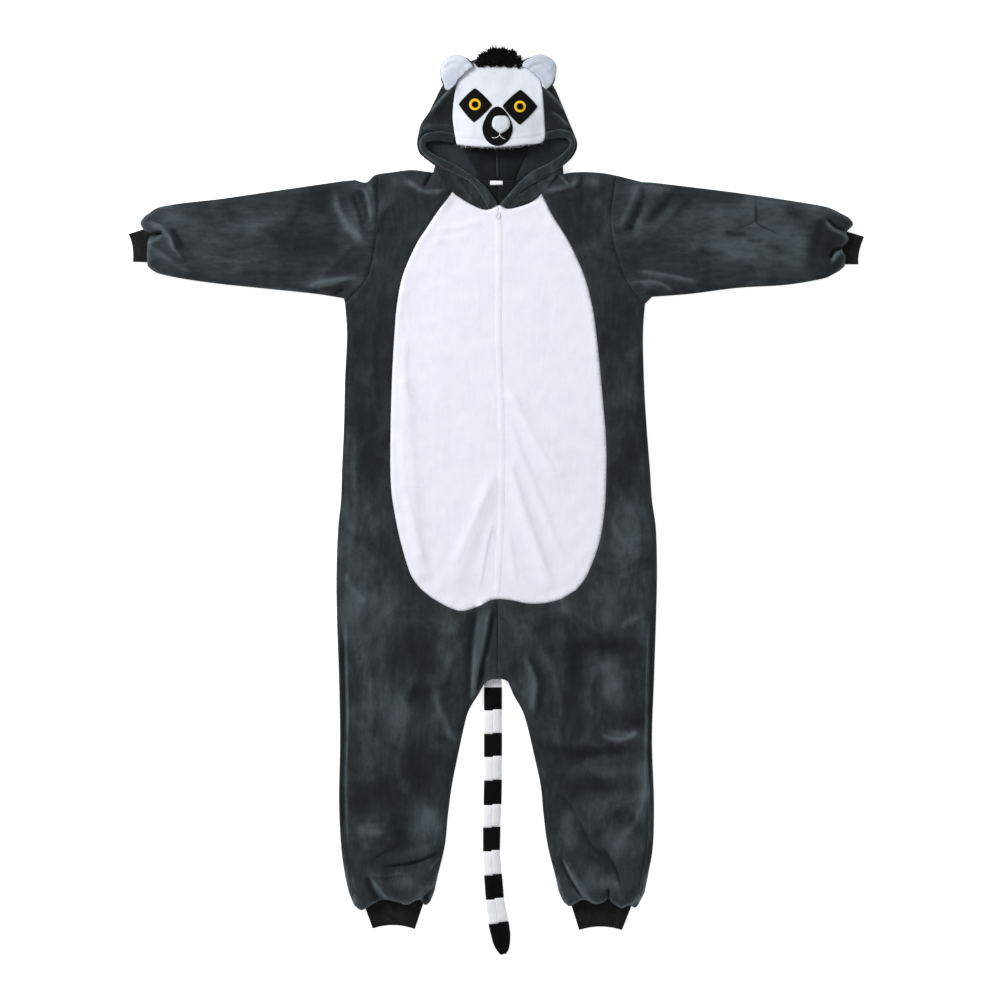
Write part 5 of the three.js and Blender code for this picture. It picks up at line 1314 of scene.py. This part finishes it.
EAR_FOLDS = {
    "left": [(-106, 866), (-96, 872), (-84, 871), (-72, 866), (-66, 857)],
    "right": [(57, 856), (64, 865), (74, 869), (86, 870), (96, 864)],
}
FACE_SEAT = joined(inset(FACE_EDGE, -SEAM))


def ear_back_reach(points):
    """The dark back shows more beside the forehead and below the ear than over its top."""
    x = np.abs(points[:, 0] - CENTRE)
    beside = smoothstep(70, 52, x) * smoothstep(862, 872, points[:, 1])
    below = smoothstep(850, 838, points[:, 1])
    return -(0.9 + 1.8 * np.maximum(beside, below))


for side, rows in (("left", LEFT_EAR), ("right", RIGHT_EAR)):
    ear_edge = joined(smooth_line([*rows, rows[0]], 3), nearest=1)
    back_edge = joined(inset(ear_edge, ear_back_reach), nearest=1)
    ear_back = plate(
        f"ear_back_cloth_{side}", back_edge, over(ear_height, PLUSH), ear_height, 4, [SLATE_PLUSH], 1.2,
        [FACE_SEAT],
    )
    on_garment(ear_back, "plush_dark", f"ear_back_{side}")
    fold = smooth_line(EAR_FOLDS[side], 3)

    def ear_front_top(points, edge=ear_edge, fold=fold):
        rim, _ = to_line(points, edge, closed=True)
        off_fold, _ = to_line(points, fold)
        plump = ear_height(points) + 2 * PLUSH + SEAM + 2 * turned(rim, 12)
        return plump - 1.6 * bell(off_fold, 3) + 1.2 * bell(off_fold - 6, 4)

    ear_front = plate(
        f"ear_front_cloth_{side}", ear_edge, ear_front_top, over(ear_height, PLUSH - SUNK), 3, [EAR_PLUSH], 3,
        [FACE_SEAT],
    )
    on_garment(ear_front, "plush_white", f"ear_front_{side}")


# Neck label on the inside of the back.
label_edge = np.array([(-20, 630), (5.5, 630), (5.5, 638.5), (-20, 638.5)], float)
label = plate("satin_label", label_edge, flat(4.9), flat(3.4), 2.5, [WHITE_SATIN], 0.3)
on_garment(label, "label_white", "neck_label")

# Seam allowances pressed flat on the inside: up the middle of the hood and along the back of the neck.
for name, line, half in (
    ("hood_seam_allowance", [(-4.5, 646), (-5.5, 680), (-4, 722)], 2.6),
    ("neck_seam_allowance", [(-42, 638), (-4, 637), (34, 637.5)], 1.1),
):
    middle = smooth_line(line, 4)
    along = np.gradient(middle, axis=0)
    across = np.column_stack([-along[:, 1], along[:, 0]]) / np.hypot(*along.T)[:, None] * half
    edge = joined(middle - across, (middle + across)[::-1], nearest=0.5)
    sewn_on(plate(name, edge, flat(4.4), flat(2.0), 2, [SLATE_LINING], 0.8))


# Cuffs: flat tubes of 1 x 1 rib, open at both ends, their free edge a little arched.
RIB_PITCH = 3.4  # the real rib is 1.6 mm, drawn twice as wide so that it shows
RIB_DEPTH = 0.9
RIB_WALL = 1.6
CUFF_RINGS = 15


def cuff_section(along, straight):
    """A place round a flattened tube, by its way from the upper left: how far across and how high it
    is, and which way is out."""
    r = CUFF_THICK / 2
    if along < straight:
        return r + along, 2 * r, (0, 1)
    if along < straight + math.pi * r:
        phi = (along - straight) / r
        return r + straight + r * math.sin(phi), r + r * math.cos(phi), (math.sin(phi), math.cos(phi))
    if along < 2 * straight + math.pi * r:
        return r + straight - (along - straight - math.pi * r), 0, (0, 0)
    phi = (along - 2 * straight - math.pi * r) / r
    return r - r * math.sin(phi), r - r * math.cos(phi), (-math.sin(phi), -math.cos(phi))


def cuff(name, corners):
    root_a, end_a, arch, end_b, root_b = (np.array(corner, float) for corner in corners)
    width = np.hypot(*(end_b - end_a))
    straight = width - CUFF_THICK
    around = 2 * straight + math.pi * CUFF_THICK
    count = 6 * round(around / RIB_PITCH)
    rows = []
    for v in np.linspace(0, 1, CUFF_RINGS):
        a, b = root_a + (end_a - root_a) * v, root_b + (end_b - root_b) * v
        for k in range(count):
            along = k / count * around
            across, height, out = cuff_section(along, straight)
            rib = RIB_DEPTH / 2 * (math.cos(math.tau * along / RIB_PITCH) - 1)
            across, height = across + out[0] * rib, height + out[1] * rib
            t = across / width
            bow = 4 * t * (1 - t) * v ** 3
            x, y = a + (b - a) * t + (arch - (end_a + end_b) / 2) * bow
            rows.append((x, y, height * (1 - 0.04 * v)))
    faces = []
    for i in range(CUFF_RINGS - 1):
        for k in range(count):
            a, b = i * count + k, i * count + (k + 1) % count
            faces += [(a, b, b + count), (a, b + count, a + count)]
    faces = np.array(faces)
    down, wide = end_a - root_a, root_b - root_a
    if down[0] * wide[1] - down[1] * wide[0] > 0:
        faces = faces[:, ::-1]
    return thick(mesh_object(name, rows, faces, [BLACK_RIB]), RIB_WALL)


for place, corners in CUFFS.items():
    on_garment(cuff(f"rib_{place}", corners), "rib_black", f"cuff_{place}")


# Tail: a stuffed tube of bands, flat where it lies, its seam down the middle a little out of step.
TAIL_ROOT_Y = -328
TAIL_END_Y = -908
TAIL_ROWS = [(TAIL_ROOT_Y, -30, 2), *TAIL_BANDS]
TAIL_SEAM_STEP = 1.2
TAIL_SKEW = 0.6  # how far the bands' seams turn with the tail's bend
# Round the tail from its left side over the top, with more points beside the seam down its middle.
TAIL_ANGLES = np.radians([
    0, 12, 24, 36, 47, 57, 66, 74, 80, 84.5, 87.5, 89.3, 90.7, 92.5, 95.5, 100, 106, 114, 123, 133, 144, 156,
    168, 180, 200, 220, 240, 260, 280, 300, 320, 340,
])
ROUND = len(TAIL_ANGLES)
tail_y = np.array([row[0] for row in TAIL_ROWS], float)
TAIL_TIP = [(-870, -17.5, 21), (-886, -13.4, 20.3), (-897, -8, 18.4), (-904, -3, 15), (TAIL_END_Y, 1, 11.5)]
TIP_STEPS = np.array([0, 0.12, 0.25, 0.4, 0.55, 0.68, 0.78, 0.86, 0.92, 0.96, 0.985, 1])
TAIL_EDGES = np.array([*TAIL_ROWS[:-1], *TAIL_TIP], float)


def rounded_power(value):
    """Squares a circle's sine or cosine a little."""
    return math.copysign(abs(value) ** 0.8, value)


def tail_ring(y, seams):
    """One turn round the tail, pinched where it comes near a band's seam."""
    left, right = (np.interp(-y, -TAIL_EDGES[:, 0], TAIL_EDGES[:, side]) for side in (1, 2))
    swell = float(smoothstep(352, 400, -y))
    tip = 1 - 0.3 * float(smoothstep(860, -TAIL_END_Y, -y)) - 0.4 * float(smoothstep(894, -TAIL_END_Y, -y))
    thick_here = (8.0 + 7.0 * swell) * tip
    pinch = 1 - 0.1 * max(bell(y - seam, 3.2) for seam in seams)
    middle, half = (left + right) / 2, (right - left) / 2 * (0.985 + 0.015 * pinch)
    middles = TAIL_EDGES[:, 1:].mean(axis=1)
    above, below = (np.interp(-y + shift, -TAIL_EDGES[:, 0], middles) for shift in (-24, 24))
    slope = TAIL_SKEW * (below - above) / 48 * swell
    ring = []
    for phi in TAIL_ANGLES:
        across, up = rounded_power(math.cos(phi)), rounded_power(math.sin(phi))
        off = across * half
        if up > 0:
            height = thick_here * (0.32 + 0.68 * up * pinch) - bell(off, 1.1)
            step = TAIL_SEAM_STEP * math.tanh(off / 0.6) * (swell > 0.5)
        else:
            height = thick_here * 0.32 * (1 - min(1, -1.8 * up))
            step = 0
        ring.append((middle + off, y + step + slope * across * half, height))
    return ring


for index, (start, end) in enumerate(zip(tail_y[:-1], tail_y[1:])):
    steps = np.linspace(start, end, 14)
    if end == TAIL_END_Y:
        steps = start + (end - start) * TIP_STEPS
    seams = [y for y in (start, end) if y not in (TAIL_ROOT_Y, TAIL_END_Y)]
    rings = [tail_ring(y, seams) for y in steps]
    points = [point for ring in rings for point in ring]
    quads = [
        (i * ROUND + k, i * ROUND + (k + 1) % ROUND, (i + 1) * ROUND + k, (i + 1) * ROUND + (k + 1) % ROUND)
        for i in range(len(rings) - 1) for k in range(ROUND)
    ]
    faces = [(a, d, b) for a, b, _, d in quads] + [(a, c, d) for a, _, c, d in quads]
    for ring, flip in ((0, False), (len(rings) - 1, True)):
        centre = len(points)
        points.append(tuple(np.mean(rings[ring], axis=0)))
        for k in range(ROUND):
            a, b = ring * ROUND + k, ring * ROUND + (k + 1) % ROUND
            faces.append((centre, b, a) if flip else (centre, a, b))
    material, slot = ((TAIL_WHITE, "plush_white"), (BLACK_PLUSH, "plush_black"))[index % 2]
    tail = mesh_object(f"tail_cloth_{index + 1:02d}", points, np.array(faces)[:, ::-1], [material])
    on_garment(tail, slot, f"tail_band_{index + 1:02d}")


# Fur, thread and fibre

def strands(name, roots, aims, lengths, width, materials, seed, bend):
    """Tapered blades of pile, each bent towards the floor, three segments long."""
    # A real fibre is under 0.1 mm thick. A blade stands for several of them, so that they show.
    chance = np.random.default_rng(seed)
    points, faces = [], []
    for root, aim, length in zip(roots, aims, lengths):
        aim = np.array(aim, float) / np.linalg.norm(aim)
        side = np.cross(aim, (chance.normal(0, 0.5), chance.normal(0, 0.5), 1))
        side /= np.linalg.norm(side)
        base = len(points)
        for part, wide in ((0, 1.0), (0.4, 0.8), (0.75, 0.45)):
            spot = root + aim * length * part - np.array([0, 0, bend * length * part * part])
            points += [spot - side * width * wide / 2, spot + side * width * wide / 2]
        points.append(root + aim * length - np.array([0, 0, bend * length]))
        for a, b, c in ((0, 1, 3), (0, 3, 2), (2, 3, 5), (2, 5, 4), (4, 5, 6)):
            faces.append((base + a, base + b, base + c))
    return mesh_object(name, points, faces, materials)


def scatter(outline, count, seed):
    """Chance places inside an outline."""
    chance = np.random.default_rng(seed)
    low, high = outline.min(axis=0), outline.max(axis=0)
    places = np.zeros((0, 2))
    while len(places) < count:
        more = low + chance.random((count, 2)) * (high - low)
        places = np.vstack([places, more[inside(more, outline)]])
    return places[:count]


# Tuft of long black pile that stands up from the forehead and fans out in locks.
TUFT_LOCKS = 420
LOCK_HAIRS = 9
tuft_edge = joined(smooth_line([*TUFT, (CENTRE, 868), TUFT[0]], 4))


def tuft_seat(points):
    top = upper(np.array([(CENTRE, HOOD_TOP - 8)], float))[0]
    return np.where(inside(points, GARMENT), upper(points), 3 + (top - 3) * 0.5) + SEAM


def tuft_top(points):
    rim, _ = to_line(points, tuft_edge, closed=True)
    return tuft_seat(points) + 2 + 9 * turned(rim, 17)


tuft_pad = plate("tuft_pad", joined(inset(tuft_edge, 13)), tuft_top, tuft_seat, 4, [FUR_BLACK], 3)
on_garment(tuft_pad, "fur_black", "tuft")
chance = np.random.default_rng(11)
lock_roots = scatter(tuft_edge, TUFT_LOCKS, 12)
lock_roots = np.column_stack([
    CENTRE + (lock_roots[:, 0] - CENTRE) * 0.86, 864 + (lock_roots[:, 1] - 866) * 0.84,
])
fan = (lock_roots[:, 0] - CENTRE) / 50
lock_aims = np.column_stack([
    1.1 * fan + chance.normal(0, 0.3, TUFT_LOCKS), 0.95 + chance.normal(0, 0.2, TUFT_LOCKS),
    0.3 + chance.normal(0, 0.15, TUFT_LOCKS),
])
lock_aims *= (chance.uniform(7, 15, TUFT_LOCKS) / np.hypot(*lock_aims[:, :2].T))[:, None]
lock_seat = np.maximum(tuft_top(lock_roots), face_top(lock_roots) + 1) - 1.5
lock_tips = np.column_stack([lock_roots, lock_seat]) + lock_aims
hair_tips = np.repeat(lock_tips, LOCK_HAIRS, axis=0) + chance.normal(0, 0.2, (TUFT_LOCKS * LOCK_HAIRS, 3))
hair_plan = np.repeat(lock_roots, LOCK_HAIRS, axis=0) + chance.normal(0, 1.5, (TUFT_LOCKS * LOCK_HAIRS, 2))
hair_roots = np.column_stack([hair_plan, np.repeat(lock_seat, LOCK_HAIRS)])
hairs = hair_tips - hair_roots
tuft_fur = strands("tuft_fur", hair_roots, hairs, np.linalg.norm(hairs, axis=1), 1.0, [FUR_BLACK], 13, 0.15)
sewn_on(tuft_fur)


def stitches(name, path, length, radius, surface, rise, materials):
    """A line of short satin stitches, each a thread that swells in its middle."""
    # The real thread is 0.4 mm thick. It is drawn 1.5 mm thick so that it shows.
    line = smooth_line(path, length)
    points, faces = [], []
    for a, b in zip(line[:-1], line[1:]):
        along = (b - a) / max(np.hypot(*(b - a)), 1e-6)
        across = np.array([-along[1], along[0]])
        level = surface(np.array([(a + b) / 2]))[0] + rise
        base = len(points)
        for t, swell in ((0.04, 0.45), (0.3, 1.0), (0.7, 1.0), (0.96, 0.45)):
            spot = a + (b - a) * t
            for k in range(8):
                phi = k / 8 * math.tau
                shift = across * math.cos(phi) * radius * swell
                height = level + radius * 0.8 * swell * math.sin(phi)
                points.append((spot[0] + shift[0], spot[1] + shift[1], height))
        for i in range(3):
            for k in range(8):
                p, q = base + i * 8 + k, base + i * 8 + (k + 1) % 8
                faces += [(p, q, q + 8), (p, q + 8, p + 8)]
        for k in range(1, 7):
            faces += [(base, base + k + 1, base + k), (base + 24, base + 24 + k, base + 25 + k)]
    sewn_on(mesh_object(name, points, np.array(faces)[:, ::-1], materials))


# Embroidered mouth under the nose.
for part, path in (
    ("left", [(-16, 724), (-12, 722.6), (-6, 724.2), (-0.4, 728.2)]),
    ("middle", [(-1.2, 733), (-0.4, 728)]),
    ("right", [(-0.4, 728.2), (4, 723.6), (10.4, 720)]),
):
    stitches(f"mouth_stitches_{part}", path, 2.6, 0.75, muzzle_top, 0.2, [WHITE_THREAD])


def fringe(name, line, per_mm, aim, length, seed):
    """White pile that hangs over an edge of the face panel."""
    chance = np.random.default_rng(seed)
    reach = np.concatenate([[0], np.cumsum(np.hypot(*np.diff(line, axis=0).T))])
    at = chance.uniform(0, reach[-1], int(per_mm * reach[-1]))
    places = np.column_stack([np.interp(at, reach, line[:, k]) for k in (0, 1)])
    places += chance.normal(0, 2.5, places.shape)
    roots = np.column_stack([places, face_top(places) - 0.8])
    aims = np.array(aim) + chance.normal(0, 0.28, (len(places), 3))
    lengths = chance.uniform(0.6, 1.25, len(places)) * length
    sewn_on(strands(name, roots, aims, lengths, 0.55, [FUR_WHITE], seed + 1, 0.3))


top_line = smooth_line(
    [(84, 836), (74, 848), (60, 860), (42, 866), (-4, 869), (-48, 866), (-64, 858), (-80, 842)], 4,
)
bottom_line = smooth_line([(-86, 712), (-60, 708), (-4, 706), (50, 711), (86, 719)], 4)
fringe("face_top_fringe", top_line, 12, (0.0, 0.9, 0.35), 3.4, 21)
fringe("face_bottom_fringe", bottom_line, 6, (0.0, -0.9, 0.0), 0.9, 31)


# Floor, light and camera

def floor():
    size, height = 6.0, -0.0003
    mesh = bpy.data.meshes.new("floor")
    corners = [(size * x, size * y, height) for x, y in ((-1, -1), (1, -1), (1, 1), (-1, 1))]
    mesh.from_pydata(corners, [], [(0, 1, 2, 3)])
    material, tree = new_material("White studio floor")
    shader = add(tree, "ShaderNodeBsdfPrincipled", {
        "Base Color": linear("#ffffff"), "Roughness": 1.0, "Specular IOR Level": 0.0,
        "Emission Color": linear("#ffffff"), "Emission Strength": 0.6,
    })
    add(tree, "ShaderNodeOutputMaterial", {}, {"Surface": shader.outputs["BSDF"]})
    mesh.materials.append(material)
    piece = bpy.data.objects.new("floor", mesh)
    bpy.context.scene.collection.objects.link(piece)


def soft_light(name, place, size, power):
    light = bpy.data.lights.new(name, "AREA")
    light.shape = "SQUARE"
    light.size = size
    light.energy = power
    lamp = bpy.data.objects.new(name, light)
    lamp.location = place
    lamp.rotation_euler = (-Vector(place)).to_track_quat("-Z", "Y").to_euler()
    bpy.context.scene.collection.objects.link(lamp)


floor()
soft_light("key", (-3.0, 2.4, 2.5), 1.2, 165)
soft_light("fill", (2.6, -2.4, 3.2), 2.6, 35)
world = bpy.data.worlds.new("studio")
world.use_nodes = True
background = world.node_tree.nodes["Background"]
background.inputs["Color"].default_value = (1, 1, 1, 1)
background.inputs["Strength"].default_value = 0.42
bpy.context.scene.world = world

lens = bpy.data.cameras.new("camera")
lens.lens = 360
lens.sensor_width = 36
lens.clip_end = 60
# 20 m up through a long lens the frame is 2 m wide on the floor, and depth hardly shifts anything.
camera = bpy.data.objects.new("camera", lens)
camera.location = (0, 0, 20)
bpy.context.scene.collection.objects.link(camera)
bpy.context.scene.camera = camera
bpy.context.scene.view_settings.view_transform = "Standard"

bpy.context.view_layer.update()
